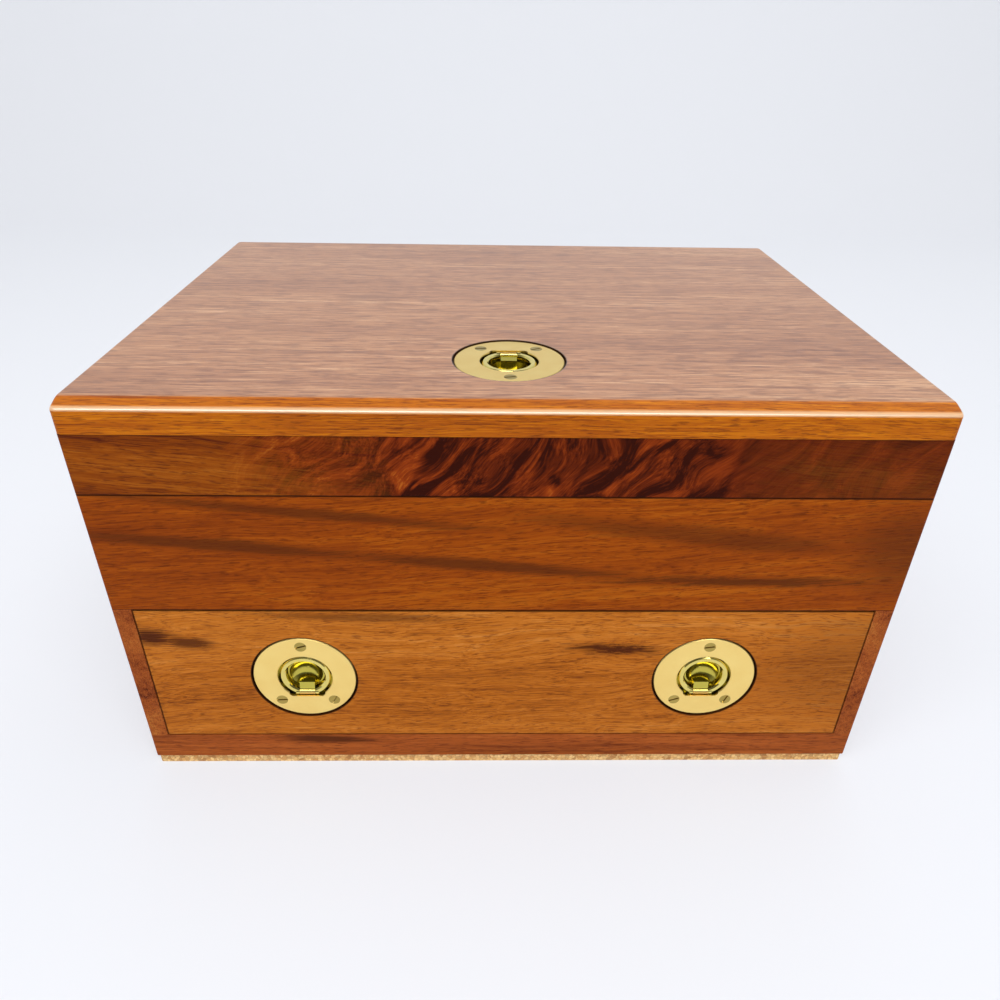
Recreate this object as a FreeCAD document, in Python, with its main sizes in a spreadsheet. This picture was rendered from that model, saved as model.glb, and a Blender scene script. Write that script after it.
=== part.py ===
import FreeCAD, Part
import Sketcher
import math
import os
import re

# Musical jewelry box in walnut: a lidded case with one drawer, three brass flush ring pulls,
# a lift-out tray and a comb-and-cylinder music works wound from the back.
# Frame: millimetres, +X to the right, +Y to the back, +Z up, origin at the middle of the
# underside of the cork base.

V = FreeCAD.Vector
doc = FreeCAD.newDocument("MusicalJewelryBox")

# Driving sizes
CASE = {
    "box_width": 320,
    "box_depth": 240,
    "wall": 8,
    "cork_height": 5,
    "cork_inset": 0.8,
    "bottom_rail_height": 13.5,
    "drawer_bay_height": 72.4,
    "upper_board_height": 53.6,
    "corner_radius": 1.2,
    "bottom_thickness": 4,
    "shelf_thickness": 4,
    "shelf_relief": 0.5,
    "runner_width": 12,
    "lining_thickness": 1.2,
}
LID = {
    "seam_gap": 0.3,
    "lid_rail_height": 25,
    "lid_board_height": 12,
    "board_overhang": 0.3,
    "bevel_run": 7,
    "bevel_drop": 2.4,
    "bevel_blend": 9,
    "edge_radius": 1.5,
    "board_corner_radius": 2.5,
    "lid_lining_thickness": 2,
    "mirror_width": 220,
    "mirror_depth": 150,
    "mirror_thickness": 2.5,
    "bead_width": 7,
    "bead_height": 4,
    "bead_lip": 2,
}
DRAWER = {
    "front_gap_top": 0.6,
    "front_gap_side": 0.5,
    "front_gap_bottom": 0.5,
    "drawer_front_thickness": 12,
    "drawer_side_thickness": 7,
    "drawer_side_height": 60,
    "drawer_back_thickness": 6,
    "drawer_back_height": 61,
    "drawer_length": 220,
    "drawer_travel": 150,
    "drawer_floor_rise": 3.5,
    "drawer_floor_thickness": 3,
    "groove_depth": 3,
    "slide_gap": 0.2,
    "tail_count": 4,
    "tail_width": 9,
    "tail_flare": 1.2,
    "tail_length": 8,
    "stop_block_width": 20,
    "stop_block_length": 8,
    "stop_block_drop": 11,
}
PULL = {
    "plate_radius": 22,
    "plate_thickness": 1.6,
    "plate_edge": 0.3,
    "pull_recess": 0.4,
    "pull_hole_gap": 0.7,
    "cup_radius": 11.75,
    "cup_wall": 1.25,
    "cup_depth": 8.4,
    "cup_bore_gap": 0.4,
    "channel_depth": 4.6,
    "bowl_rim_radius": 7.9,
    "bowl_radius": 7.2,
    "bowl_rim_depth": 3.0,
    "bowl_depth": 7.2,
    "notch_half_width": 7.8,
    "notch_reach": 10.9,
    "notch_corner": 1.1,
    "ring_outer_radius": 10.9,
    "ring_inner_radius": 8.35,
    "ring_thickness": 2.0,
    "ring_edge": 0.55,
    "ring_pivot_reach": 9.2,
    "ring_pivot_depth": 1.5,
    "eye_radius": 1.3,
    "eye_width": 1.5,
    "lug_half_width": 3.25,
    "lug_radius": 1.4,
    "lug_side_gap": 0.15,
    "tongue_reach": 4.4,
    "seam_width": 0.4,
    "seam_depth": 0.35,
    "pull_pin_radius": 0.8,
    "pull_pin_fit": 0.05,
    "pull_screw_circle": 17.4,
    "pull_screw_spread": 41,
    "screw_head_radius": 2.5,
    "screw_head_height": 1.3,
    "screw_shank_radius": 1.25,
    "screw_length": 9.5,
    "screw_slot_width": 0.7,
    "screw_slot_depth": 0.7,
    "lid_pull_setback": 45,
    "drawer_pull_spacing": 173,
    "drawer_pull_height": 34.7,
}
HINGE = {
    "hinge_spacing": 200,
    "leaf_length": 44,
    "leaf_reach": 8.9,
    "leaf_thickness": 1.4,
    "barrel_radius": 2.3,
    "barrel_gap": 0.1,
    "hinge_pin_radius": 1.0,
    "hinge_pin_fit": 0.05,
    "end_knuckle": 10,
    "knuckle_space": 3,
    "stop_reach": 3.9,
    "stop_angle": 48.5,
    "hinge_screw_spacing": 30,
    "hinge_screw_head": 2.0,
    "hinge_screw_shank": 1.0,
    "hinge_screw_length": 8,
}
TRAY = {
    "ledge_width": 5,
    "tray_top_drop": 3.3,
    "tray_height": 23,
    "tray_wall": 5,
    "tray_side_gap": 0.5,
    "tray_seat_gap": 0.2,
    "tray_floor_thickness": 3,
    "divider_thickness": 3,
    "divider_drop": 4,
    "ring_bay_width": 92,
    "right_bay_width": 90,
    "roll_count": 12,
    "roll_gap": 0.4,
    "tray_lining_thickness": 1.0,
    "finger_notch_radius": 9,
}
WORKS = {
    "bay_depth": 32,
    "bay_wall": 4,
    "bay_half_width": 38,
    "cover_thickness": 2,
    "cover_drop": 4,
    "bedplate_left": -27,
    "bedplate_right": 35,
    "bedplate_height": 38,
    "bedplate_thickness": 2.5,
    "works_shift": -4,
    "works_rise": 2.6,
    "key_axis_along": -13,
    "axis_rise": 17,
    "cylinder_out": 14.8,
    "housing_radius": 11,
    "housing_depth": 8.5,
    "arbor_radius": 1.5,
    "arbor_fit": 0.05,
    "crown_teeth": 30,
    "crown_pinion_teeth": 10,
    "crown_module": 0.7,
    "crown_disc": 1.3,
    "crown_lift": 9.0,
    "crown_inner": 9.0,
    "crown_outer": 11.5,
    "cylinder_radius": 6.5,
    "cylinder_start": 0.9,
    "cylinder_length": 19.6,
    "pin_height": 0.8,
    "pin_width": 0.45,
    "note_count": 18,
    "note_pitch": 1.05,
    "first_note": 1.75,
    "comb_gap": 0.15,
    "comb_tooth_width": 0.8,
    "comb_tooth_thickness": 0.8,
    "comb_tooth_length": 8.5,
    "comb_base_depth": 5,
    "comb_base_thickness": 2.2,
    "gear_module": 0.4,
    "cylinder_gear_teeth": 33,
    "governor_pinion_teeth": 8,
    "gear_start": 21.0,
    "gear_width": 1.6,
    "bearing_start": 24.0,
    "bearing_width": 1.2,
    "worm_wheel_teeth": 20,
    "worm_wheel_start": 29.0,
    "worm_wheel_width": 1.5,
    "worm_radius": 1.6,
    "thread_half_width": 0.16,
    "worm_turns": 4,
    "tooth_root": 0.8,
    "tooth_tip": 0.33,
    "tooth_above": 0.9,
    "tooth_below": 1.25,
    "fan_start": 16,
    "fan_height": 9,
    "fan_radius": 5,
    "fan_thickness": 0.4,
    "fine_arbor_radius": 0.6,
    "fine_fit": 0.05,
    "frame_foot": 1.5,
    "frame_low": 2.0,
    "frame_high": 27.0,
    "fan_arbor_top": 30,
    "key_hole_radius": 4,
    "key_hub_radius": 3.5,
    "key_hub_length": 8,
    "key_stand_off": 1,
    "key_wing_width": 24,
    "key_wing_height": 11,
    "key_wing_thickness": 1.8,
    "plunger_radius": 1.25,
    "plunger_gap": 0.35,
    "plunger_length": 26,
    "plunger_set_back": 2.2,
    "finger_radius": 0.7,
    "finger_rise": 1.2,
    "finger_gap": 0.3,
}
SIZES = {**CASE, **LID, **DRAWER, **PULL, **HINGE, **TRAY, **WORKS}

# Places worked out from the driving sizes
PLACES = {
    "half_width": "box_width / 2",
    "half_depth": "box_depth / 2",
    "inner_x": "half_width - wall",
    "inner_y": "half_depth - wall",
    "wood_z": "cork_height",
    "opening_low_z": "wood_z + bottom_rail_height",
    "opening_high_z": "opening_low_z + drawer_bay_height",
    "rim_z": "opening_high_z + upper_board_height",
    "lid_low_z": "rim_z + seam_gap",
    "board_z": "rim_z + lid_rail_height",
    "top_z": "board_z + lid_board_height",
    "shelf_low_z": "opening_high_z + shelf_relief",
    "shelf_z": "shelf_low_z + shelf_thickness",
    "board_half_width": "half_width + board_overhang",
    "board_half_depth": "half_depth + board_overhang",
    "lid_ceiling_z": "board_z - lid_lining_thickness",
    "drawer_half_width": "inner_x - front_gap_side",
    "drawer_front_low_z": "opening_low_z + front_gap_bottom",
    "drawer_front_high_z": "opening_high_z - front_gap_top",
    "drawer_face_y": "-half_depth",
    "drawer_inner_face_y": "drawer_face_y + drawer_front_thickness",
    "drawer_end_y": "drawer_face_y + drawer_length",
    "drawer_inside_x": "drawer_half_width - drawer_side_thickness",
    "drawer_side_low_z": "opening_low_z + slide_gap",
    "drawer_side_high_z": "drawer_side_low_z + drawer_side_height",
    "drawer_floor_low_z": "drawer_side_low_z + drawer_floor_rise",
    "drawer_floor_z": "drawer_floor_low_z + drawer_floor_thickness",
    "cup_outer_radius": "cup_radius + cup_wall",
    "bowl_sag": "bowl_depth - bowl_rim_depth",
    "bowl_sphere": "(bowl_radius * bowl_radius + bowl_sag * bowl_sag) / (2 * bowl_sag)",
    "eye_start": "lug_half_width + lug_side_gap",
    "eye_end": "eye_start + eye_width",
    "lid_pull_y": "lid_pull_setback - half_depth",
    "lid_pull_z": "top_z - pull_recess",
    "drawer_pull_x": "drawer_pull_spacing / 2",
    "drawer_pull_y": "drawer_face_y + pull_recess",
    "drawer_pull_z": "opening_low_z + drawer_pull_height",
    "hinge_x": "hinge_spacing / 2",
    "hinge_y": "half_depth + barrel_radius + barrel_gap",
    "hinge_z": "rim_z + seam_gap / 2",
    "bay_front_y": "inner_y - bay_depth - bay_wall",
    "bay_y": "inner_y - bay_depth",
    "bay_top_z": "rim_z - cover_drop",
    "tray_top_z": "rim_z - tray_top_drop",
    "tray_low_z": "tray_top_z - tray_height",
    "ledge_z": "tray_low_z - tray_seat_gap",
    "tray_half_width": "inner_x - tray_side_gap",
    "tray_front_y": "tray_side_gap - inner_y",
    "tray_back_y": "bay_front_y - tray_side_gap",
    "tray_inside_x": "tray_half_width - tray_wall",
    "tray_inside_front_y": "tray_front_y + tray_wall",
    "tray_inside_back_y": "tray_back_y - tray_wall",
    "tray_floor_z": "tray_low_z + tray_floor_thickness",
    "divider_z": "tray_top_z - divider_drop",
    "tray_run": "tray_inside_back_y - tray_inside_front_y",
    "roll_radius": "(tray_run / roll_count - roll_gap) / 2",
    "left_divider_x": "ring_bay_width - tray_inside_x",
    "right_divider_x": "tray_inside_x - right_bay_width - divider_thickness",
    "works_y": "inner_y - bedplate_thickness",
    "works_z": "shelf_z + works_rise",
    "key_x": "works_shift + key_axis_along",
    "key_z": "works_z + axis_rise",
    "cylinder_y": "works_y - cylinder_out",
    "governor_drop": "gear_module * (cylinder_gear_teeth + governor_pinion_teeth) / 2",
    "governor_rise": "axis_rise - governor_drop",
    "worm_wheel_radius": "gear_module * worm_wheel_teeth / 2",
    "worm_out": "cylinder_out + worm_wheel_radius + worm_radius",
    "worm_along": "worm_wheel_start + worm_wheel_width / 2",
    "comb_reach": "cylinder_radius + pin_height + comb_gap",
    "comb_tip": "axis_rise + comb_reach",
    "comb_root": "comb_tip + comb_tooth_length",
    "comb_under": "cylinder_out - 1.4",
    "worm_pitch": "3.14159265 * gear_module",
    "worm_start": "governor_rise - 1.75 * worm_pitch",
    "worm_y": "works_y - worm_out",
    "plunger_x": "works_shift + worm_along",
    "plunger_y": "inner_y + plunger_set_back",
    "finger_z": "works_z + bedplate_height + finger_rise",
}

# Sheets and expressions
SHEET_OF = {name: "dims." for name in SIZES}


def tied(text):
    """The same expression with every size's name led by the sheet that holds it."""
    return re.sub(r"[a-z]\w*", lambda word: SHEET_OF.get(word.group(), "") + word.group(), str(text))


dims = doc.addObject("Spreadsheet::Sheet", "dims")
for row, (name, value) in enumerate(SIZES.items(), 1):
    dims.set(f"A{row}", str(value))
    dims.setAlias(f"A{row}", name)
doc.recompute()

places = doc.addObject("Spreadsheet::Sheet", "places")
for row, (name, text) in enumerate(PLACES.items(), 1):
    places.set(f"A{row}", "=" + tied(text))
    places.setAlias(f"A{row}", name)
    SHEET_OF[name] = ""
doc.recompute()
SHEET_OF.update({name: "places." for name in PLACES})


def number(text):
    """Present value of an expression, for picking edges and for first sketch positions."""
    return float(places.evalExpression(tied(text)))


def tie(thing, prop, text):
    thing.setExpression(prop, tied(text))


# Helpers that make and shape the pieces
nodes = []


def keep(thing, label):
    """Name a finished piece, so that it is written out."""
    thing.Label = label
    nodes.append(thing)
    return thing


def place(thing, x="0", y="0", z="0", turn=FreeCAD.Rotation()):
    thing.Placement = FreeCAD.Placement(V(0, 0, 0), turn)
    for axis, text in zip("xyz", (x, y, z)):
        tie(thing, f"Placement.Base.{axis}", text)
    return thing


def board(name, x, y, z):
    """Plain board between the low and high ends given along X, Y and Z."""
    thing = doc.addObject("Part::Box", name)
    for side, axis, (low, high) in zip(("Length", "Width", "Height"), "xyz", (x, y, z)):
        tie(thing, side, f"({high}) - ({low})")
        tie(thing, f"Placement.Base.{axis}", low)
    return thing


def group(name, things):
    """Like pieces that share one node."""
    thing = doc.addObject("Part::Compound", name)
    thing.Links = things
    return thing


def copy_of(source, x, y, z, turn=FreeCAD.Rotation()):
    link = doc.addObject("App::Link", f"{source.Name}_copy")
    link.LinkedObject = source
    link.LinkTransform = False
    return place(link, x, y, z, turn)


def body(name):
    return doc.addObject("PartDesign::Body", name)


def own(owner, role):
    """The body's own origin plane or axis of the given role."""
    return next(item for item in owner.Origin.OriginFeatures if item.Role == role)


def rect(x_low, y_low, x_high, y_high):
    return [(x_low, y_low), (x_high, y_low), (x_high, y_high), (x_low, y_high)]


def disc(x, y, radius):
    return {"centre": (x, y), "radius": radius}


def tie_point(sketch, edge, end, x, y):
    for kind, text in (("DistanceX", x), ("DistanceY", y)):
        index = sketch.addConstraint(Sketcher.Constraint(kind, edge, end, number(text)))
        tie(sketch, f"Constraints[{index}]", text)


def draw_disc(sketch, x, y, radius):
    centre = V(number(x), number(y), 0)
    edge = sketch.addGeometry(Part.Circle(centre, V(0, 0, 1), number(radius)))
    tie_point(sketch, edge, 3, x, y)
    index = sketch.addConstraint(Sketcher.Constraint("Radius", edge, number(radius)))
    tie(sketch, f"Constraints[{index}]", radius)


def draw_outline(sketch, points):
    """Closed outline of straight edges, every corner tied to the sheets."""
    first = sketch.GeometryCount
    corners = [V(number(x), number(y), 0) for x, y in points]
    following = corners[1:] + corners[:1]
    for start, end in zip(corners, following):
        sketch.addGeometry(Part.LineSegment(start, end))
    for index in range(len(points)):
        after = first + (index + 1) % len(points)
        sketch.addConstraint(Sketcher.Constraint("Coincident", first + index, 2, after, 1))
    for index, (x, y) in enumerate(points):
        tie_point(sketch, first + index, 1, x, y)


def sketch_on(owner, plane, level, loops):
    """Sketch of closed loops on the body's XY, XZ or YZ plane, moved to a level on its axis."""
    sketch = owner.newObject("Sketcher::SketchObject", f"{owner.Name}_sketch")
    sketch.AttachmentSupport = (own(owner, f"{plane}_Plane"), "")
    sketch.MapMode = "FlatFace"
    tie(sketch, "AttachmentOffset.Base.z", f"-({level})" if plane == "XZ" else level)
    for loop in loops:
        if isinstance(loop, dict):
            draw_disc(sketch, *loop["centre"], loop["radius"])
        else:
            draw_outline(sketch, loop)
    return sketch


def solid(owner, plane, low, high, *loops):
    """Material between two levels on the axis square to the plane."""
    pad = owner.newObject("PartDesign::Pad", f"{owner.Name}_pad")
    pad.Profile = sketch_on(owner, plane, low, loops)
    pad.Reversed = plane == "XZ"
    tie(pad, "Length", f"({high}) - ({low})")
    return pad


def hollow(owner, plane, low, high, *loops):
    """Cut between two levels on the axis square to the plane."""
    before = tip_shape(owner).Volume
    pocket = owner.newObject("PartDesign::Pocket", f"{owner.Name}_pocket")
    pocket.Profile = sketch_on(owner, plane, low, loops)
    pocket.Reversed = plane != "XZ"
    tie(pocket, "Length", f"({high}) - ({low})")
    if tip_shape(owner).Volume >= before:
        raise RuntimeError(f"a cut in {owner.Name} removes nothing")
    return pocket


def turned(owner, points, axis="Z"):
    """Solid turned about Z from (radius, z) corners, or about X from (x, radius) corners."""
    feature = owner.newObject("PartDesign::Revolution", f"{owner.Name}_turning")
    feature.Profile = sketch_on(owner, "XZ", "0", [points])
    feature.ReferenceAxis = (own(owner, f"{axis}_Axis"), [""])
    feature.Angle = 360
    return feature


def around(owner, feature, axis, count):
    """The feature repeated evenly round one of the body's own axes."""
    pattern = owner.newObject("PartDesign::PolarPattern", f"{owner.Name}_round")
    pattern.Originals = [feature]
    pattern.Axis = (own(owner, f"{axis}_Axis"), [""])
    pattern.Angle = 360
    tie(pattern, "Occurrences", count)
    owner.Tip = pattern
    return pattern


def in_line(owner, feature, axis, length, count):
    """The feature repeated evenly over a length along one of the body's own axes."""
    pattern = owner.newObject("PartDesign::LinearPattern", f"{owner.Name}_row")
    pattern.Originals = [feature]
    pattern.Direction = (own(owner, f"{axis}_Axis"), [""])
    tie(pattern, "Length", length)
    tie(pattern, "Occurrences", count)
    owner.Tip = pattern
    return pattern


def tip_shape(owner):
    doc.recompute()
    return owner.Tip.Shape


def edges_where(owner, wanted):
    """Names of the edges whose middle point and direction pass the test."""
    names = []
    for index, edge in enumerate(tip_shape(owner).Edges, 1):
        if edge.Degenerated:
            continue
        half_way = (edge.FirstParameter + edge.LastParameter) / 2
        middle = edge.valueAt(half_way)
        if wanted(middle, edge.tangentAt(half_way), edge):
            names.append(f"Edge{index}")
    if not names:
        raise RuntimeError(f"no edge of {owner.Name} fits the test")
    return names


def rounded(owner, radius, wanted):
    names = edges_where(owner, wanted)
    fillet = owner.newObject("PartDesign::Fillet", f"{owner.Name}_fillet")
    fillet.Base = (owner.Tip if owner.Tip != fillet else fillet.BaseFeature, names)
    tie(fillet, "Radius", radius)
    return fillet


def chamfered(owner, size, wanted):
    names = edges_where(owner, wanted)
    chamfer = owner.newObject("PartDesign::Chamfer", f"{owner.Name}_chamfer")
    chamfer.Base = (owner.Tip if owner.Tip != chamfer else chamfer.BaseFeature, names)
    tie(chamfer, "Size", size)
    return chamfer


NEAR = 1e-4
UPRIGHT = 0.99


def upright_at(x_text, y_text=None):
    """Test for upright edges at x, and at y if given."""
    x = number(x_text)
    y = None if y_text is None else number(y_text)

    def wanted(middle, along, edge):
        at_y = y is None or abs(middle.y - y) < NEAR
        return abs(along.z) > UPRIGHT and abs(middle.x - x) < NEAR and at_y
    return wanted


def circle_at(z_text, radius_text):
    """Test for whole round edges at a height and of a radius."""
    z, radius = number(z_text), number(radius_text)

    def wanted(middle, along, edge):
        round_edge = hasattr(edge.Curve, "Radius") and abs(edge.Curve.Radius - radius) < NEAR
        return round_edge and abs(middle.z - z) < NEAR
    return wanted


# Mitred walnut boards of the case and the lid
SIDES = {"left": "-1", "right": "1"}
ENDS = {"front": "-1", "back": "1"}


def long_board(name, end, low, high):
    """Board across the whole front or back, mitred at both ends, outer corners rounded."""
    sign = ENDS[end]
    outer, inner = f"{sign} * half_depth", f"{sign} * inner_y"
    thing = body(name)
    solid(thing, "XY", low, high, rect("-half_width", outer, "half_width", inner))
    for side in SIDES.values():
        rounded(thing, "corner_radius", upright_at(f"{side} * half_width", outer))
    for side in SIDES.values():
        corner = f"{side} * half_width"
        hollow(thing, "XY", low, high,
               [(corner, outer), (corner, inner), (f"{side} * inner_x", inner)])
    return thing


def side_board(name, side, low, high, front_mitres):
    """Board along one side, mitred at the back and, between the levels given, at the front."""
    sign = SIDES[side]
    outer, inner = f"{sign} * half_width", f"{sign} * inner_x"
    thing = body(name)
    solid(thing, "XY", low, high, rect(outer, "-half_depth", inner, "half_depth"))
    for end in ENDS.values():
        rounded(thing, "corner_radius", upright_at(outer, f"{end} * half_depth"))
    cuts = [("1", low, high)] + [("-1", *levels) for levels in front_mitres]
    for end, bottom, top in cuts:
        corner, root = f"{end} * half_depth", f"{end} * inner_y"
        hollow(thing, "XY", bottom, top, [(outer, corner), (inner, corner), (inner, root)])
    return thing


for side in SIDES:
    mitres = [("wood_z", "opening_low_z"), ("opening_high_z", "rim_z")]
    keep(side_board(f"side_{side}", side, "wood_z", "rim_z", mitres), f"side_panel_{side}")
keep(long_board("upper_front", "front", "opening_high_z", "rim_z"), "upper_front_board")
keep(long_board("lower_rail", "front", "wood_z", "opening_low_z"), "bottom_rail")
back_panel = keep(long_board("back", "back", "wood_z", "rim_z"), "back_panel")

# Cork sheet glued under the case
cork = body("cork")
cork_x, cork_y = "(half_width - cork_inset)", "(half_depth - cork_inset)"
solid(cork, "XY", "0", "cork_height", rect(f"-{cork_x}", f"-{cork_y}", cork_x, cork_y))
for side in SIDES.values():
    rounded(cork, "corner_radius", upright_at(f"{side} * {cork_x}"))
keep(cork, "cork_base")

# Plywood bottom, shelf over the drawer, drawer runners and tray ledges
ACROSS = ("-inner_x", "inner_x")
THROUGH = ("-inner_y", "inner_y")
keep(board("bottom", ACROSS, THROUGH, ("wood_z", "wood_z + bottom_thickness")), "bottom_panel")
keep(board("shelf", ACROSS, THROUGH, ("shelf_low_z", "shelf_z")), "divider_shelf")
LEFT_RUN = ("-inner_x", "-inner_x + runner_width")
RIGHT_RUN = ("inner_x - runner_width", "inner_x")
runner_z = ("wood_z + bottom_thickness", "opening_low_z")
runners = [board("runner", run, THROUGH, runner_z) for run in (LEFT_RUN, RIGHT_RUN)]
keep(group("runner_pair", runners), "drawer_runners")

stop_y = ("drawer_end_y + slide_gap", "inner_y")
stop_z = ("opening_low_z", "opening_low_z + stop_block_drop")
back_stops = [board("back_stop", run, stop_y, stop_z) for run in (LEFT_RUN, RIGHT_RUN)]

catch_y = "drawer_end_y - drawer_back_thickness - drawer_travel - slide_gap"
catch_edge = "inner_x - 2 * runner_width"
travel_stops = [
    board("travel_stop", span, (f"{catch_y} - stop_block_length", catch_y),
          ("shelf_low_z - stop_block_drop", "shelf_low_z"))
    for span in ((f"-({catch_edge})", f"-({catch_edge}) + stop_block_width"),
                 (f"{catch_edge} - stop_block_width", catch_edge))]
keep(group("stop_set", back_stops + travel_stops), "drawer_stops")

ledge_z = ("shelf_z", "ledge_z")
ledge_y = ("-inner_y", "bay_front_y")
ledges = [board("ledge", ("-inner_x", "-inner_x + ledge_width"), ledge_y, ledge_z),
          board("ledge", ("inner_x - ledge_width", "inner_x"), ledge_y, ledge_z)]
keep(group("ledge_pair", ledges), "tray_ledges")
lining_z = ("shelf_z", "shelf_z + lining_thickness")
well_x = ("-inner_x + ledge_width", "inner_x - ledge_width")
well_pads = [board("well_pad", well_x, ledge_y, lining_z)]

# Walls of the music bay across the back, its clear cover and the two lined wells beside it
keep_bay = ("shelf_z", "bay_top_z")
bay_edge = "(bay_half_width + bay_wall)"
bay_walls = [
    board("bay_long_wall", ACROSS, ("bay_front_y", "bay_y"), keep_bay),
    board("bay_end", (f"-{bay_edge}", "-bay_half_width"), ("bay_y", "inner_y"), keep_bay),
    board("bay_end", ("bay_half_width", bay_edge), ("bay_y", "inner_y"), keep_bay)]
keep(group("bay_wall_set", bay_walls), "music_bay_walls")
cover_z = ("bay_top_z", "bay_top_z + cover_thickness")
cover = board("clear_cover", (f"-{bay_edge}", bay_edge), ("bay_front_y", "inner_y"), cover_z)
keep(cover, "music_bay_cover")
well_pads += [board("rear_pad", span, ("bay_y", "inner_y"), lining_z)
              for span in (("-inner_x", f"-{bay_edge}"), (bay_edge, "inner_x"))]
keep(group("well_pad_set", well_pads), "well_linings")

# Lid: mitred rail frame under a board with a soft front bevel
for side in SIDES:
    keep(side_board(f"rail_{side}", side, "lid_low_z", "board_z", [("lid_low_z", "board_z")]),
         f"lid_rail_{side}")
keep(long_board("rail_front", "front", "lid_low_z", "board_z"), "lid_rail_front")
lid_rail_back = keep(long_board("rail_back", "back", "lid_low_z", "board_z"), "lid_rail_back")

lid_board = body("lid_top")
front, back = "-board_half_depth", "board_half_depth"
solid(lid_board, "YZ", "-board_half_width", "board_half_width",
      [(front, "board_z"), (back, "board_z"), (back, "top_z"),
       (f"{front} + bevel_run", "top_z"), (front, "top_z - bevel_drop")])
for side in SIDES.values():
    rounded(lid_board, "board_corner_radius", upright_at(f"{side} * board_half_width"))
bevel_back = number(f"{front} + bevel_run")
rounded(lid_board, "bevel_blend",
        lambda middle, along, edge: abs(along.x) > UPRIGHT and abs(middle.y - bevel_back) < NEAR)
board_low, board_front = number("board_z"), number("-half_depth")
top, bevel_foot = number("top_z"), number("top_z - bevel_drop")


def is_top_rim(middle, along, edge):
    """Edges round the top of the board, apart from the blended top of the bevel."""
    outside = abs(middle.x) > number("half_width - board_corner_radius") or middle.y > number("inner_y")
    over_front = middle.y < board_front + NEAR
    return middle.z > bevel_foot - NEAR and abs(along.z) < 0.5 and (outside or over_front)


rounded(lid_board, "edge_radius", is_top_rim)


def pull_hole(owner, x, y, face, inward):
    """Stepped hole for a flush pull: rebate for the plate and a deeper bore for the cup."""
    plane = "XY" if owner is lid_board else "XZ"
    hole = "plate_radius + pull_hole_gap"
    floor = f"{face} {inward} (pull_recess + plate_thickness)"
    cup_floor = f"{face} {inward} (pull_recess + cup_depth + cup_bore_gap)"
    screw_end = f"{face} {inward} (pull_recess + screw_length)"
    levels = (floor, face) if inward == "-" else (face, floor)
    hollow(owner, plane, *levels, disc(x, y, hole))
    levels = (cup_floor, face) if inward == "-" else (face, cup_floor)
    hollow(owner, plane, *levels, disc(x, y, "cup_outer_radius + cup_bore_gap"))
    flip = "-1" if owner is lid_board else "1"
    pilots = [disc(f"{x} + {flip} * ({across})", f"{y} + {flip} * ({up})", "screw_shank_radius")
              for across, up in SCREW_SPOTS]
    levels = (screw_end, face) if inward == "-" else (face, screw_end)
    hollow(owner, plane, *levels, *pilots)


# Screw places on a pull plate, hinge side towards minus y: one opposite the hinge, two beside it
SCREW_SPOTS = [
    ("0", "pull_screw_circle"),
    ("-pull_screw_circle * sin(pull_screw_spread)", "-pull_screw_circle * cos(pull_screw_spread)"),
    ("pull_screw_circle * sin(pull_screw_spread)", "-pull_screw_circle * cos(pull_screw_spread)"),
]
pull_hole(lid_board, "0", "lid_pull_y", "top_z", "-")
keep(lid_board, "lid_board")

# Inside of the lid: lining board, mirror and the mitred beading that holds it
keep(board("lid_lining", ACROSS, THROUGH, ("lid_ceiling_z", "board_z")), "lid_lining_board")
mirror_z = "(lid_ceiling_z - mirror_thickness)"
mirror_x = ("-mirror_width / 2", "mirror_width / 2")
mirror_y = ("-mirror_depth / 2", "mirror_depth / 2")
keep(board("mirror_plate", mirror_x, mirror_y, (mirror_z, "lid_ceiling_z")), "lid_mirror")


def bead(name, half_length, half_other):
    """Half of the mirror's beading, as two rails lipped over the glass and mitred at the ends."""
    thing = body(name)
    low, high = "lid_ceiling_z - bead_height", "lid_ceiling_z"
    inner, outer = f"{half_other} - bead_lip", f"{half_other} + bead_width - bead_lip"
    end_in, end_out = f"{half_length} - bead_lip", f"{half_length} + bead_width - bead_lip"
    solid(thing, "XY", low, high,
          [(f"-({end_out})", outer), (end_out, outer), (end_in, inner), (f"-({end_in})", inner)])
    hollow(thing, "XY", mirror_z, high, rect(f"-({half_length})", inner, half_length, half_other))
    return thing


long_bead = bead("long_bead", "mirror_width / 2", "mirror_depth / 2")
short_bead = bead("short_bead", "mirror_depth / 2", "mirror_width / 2")
UP = V(0, 0, 1)
beads = [copy_of(source, "0", "0", "0", FreeCAD.Rotation(UP, angle))
         for source, angle in ((long_bead, 0), (short_bead, 90), (long_bead, 180), (short_bead, 270))]
keep(group("bead_set", beads), "mirror_beading")

# Drawer: half-blind dovetailed sides, front flush with the case, back taller for the stops
TAIL_BASE = "drawer_inner_face_y"
TAIL_END = "drawer_inner_face_y - tail_length"


def tail_outlines():
    """Tails along the side's front end: narrow at the shoulder, flared at the tip."""
    outlines = []
    for index in range(SIZES["tail_count"]):
        middle = f"(drawer_side_low_z + drawer_side_height * {2 * index + 1} / (2 * tail_count))"
        root, tip = "(tail_width / 2 - tail_flare)", "(tail_width / 2)"
        outlines.append([(TAIL_BASE, f"{middle} - {root}"), (TAIL_END, f"{middle} - {tip}"),
                         (TAIL_END, f"{middle} + {tip}"), (TAIL_BASE, f"{middle} + {root}")])
    return outlines


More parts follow.
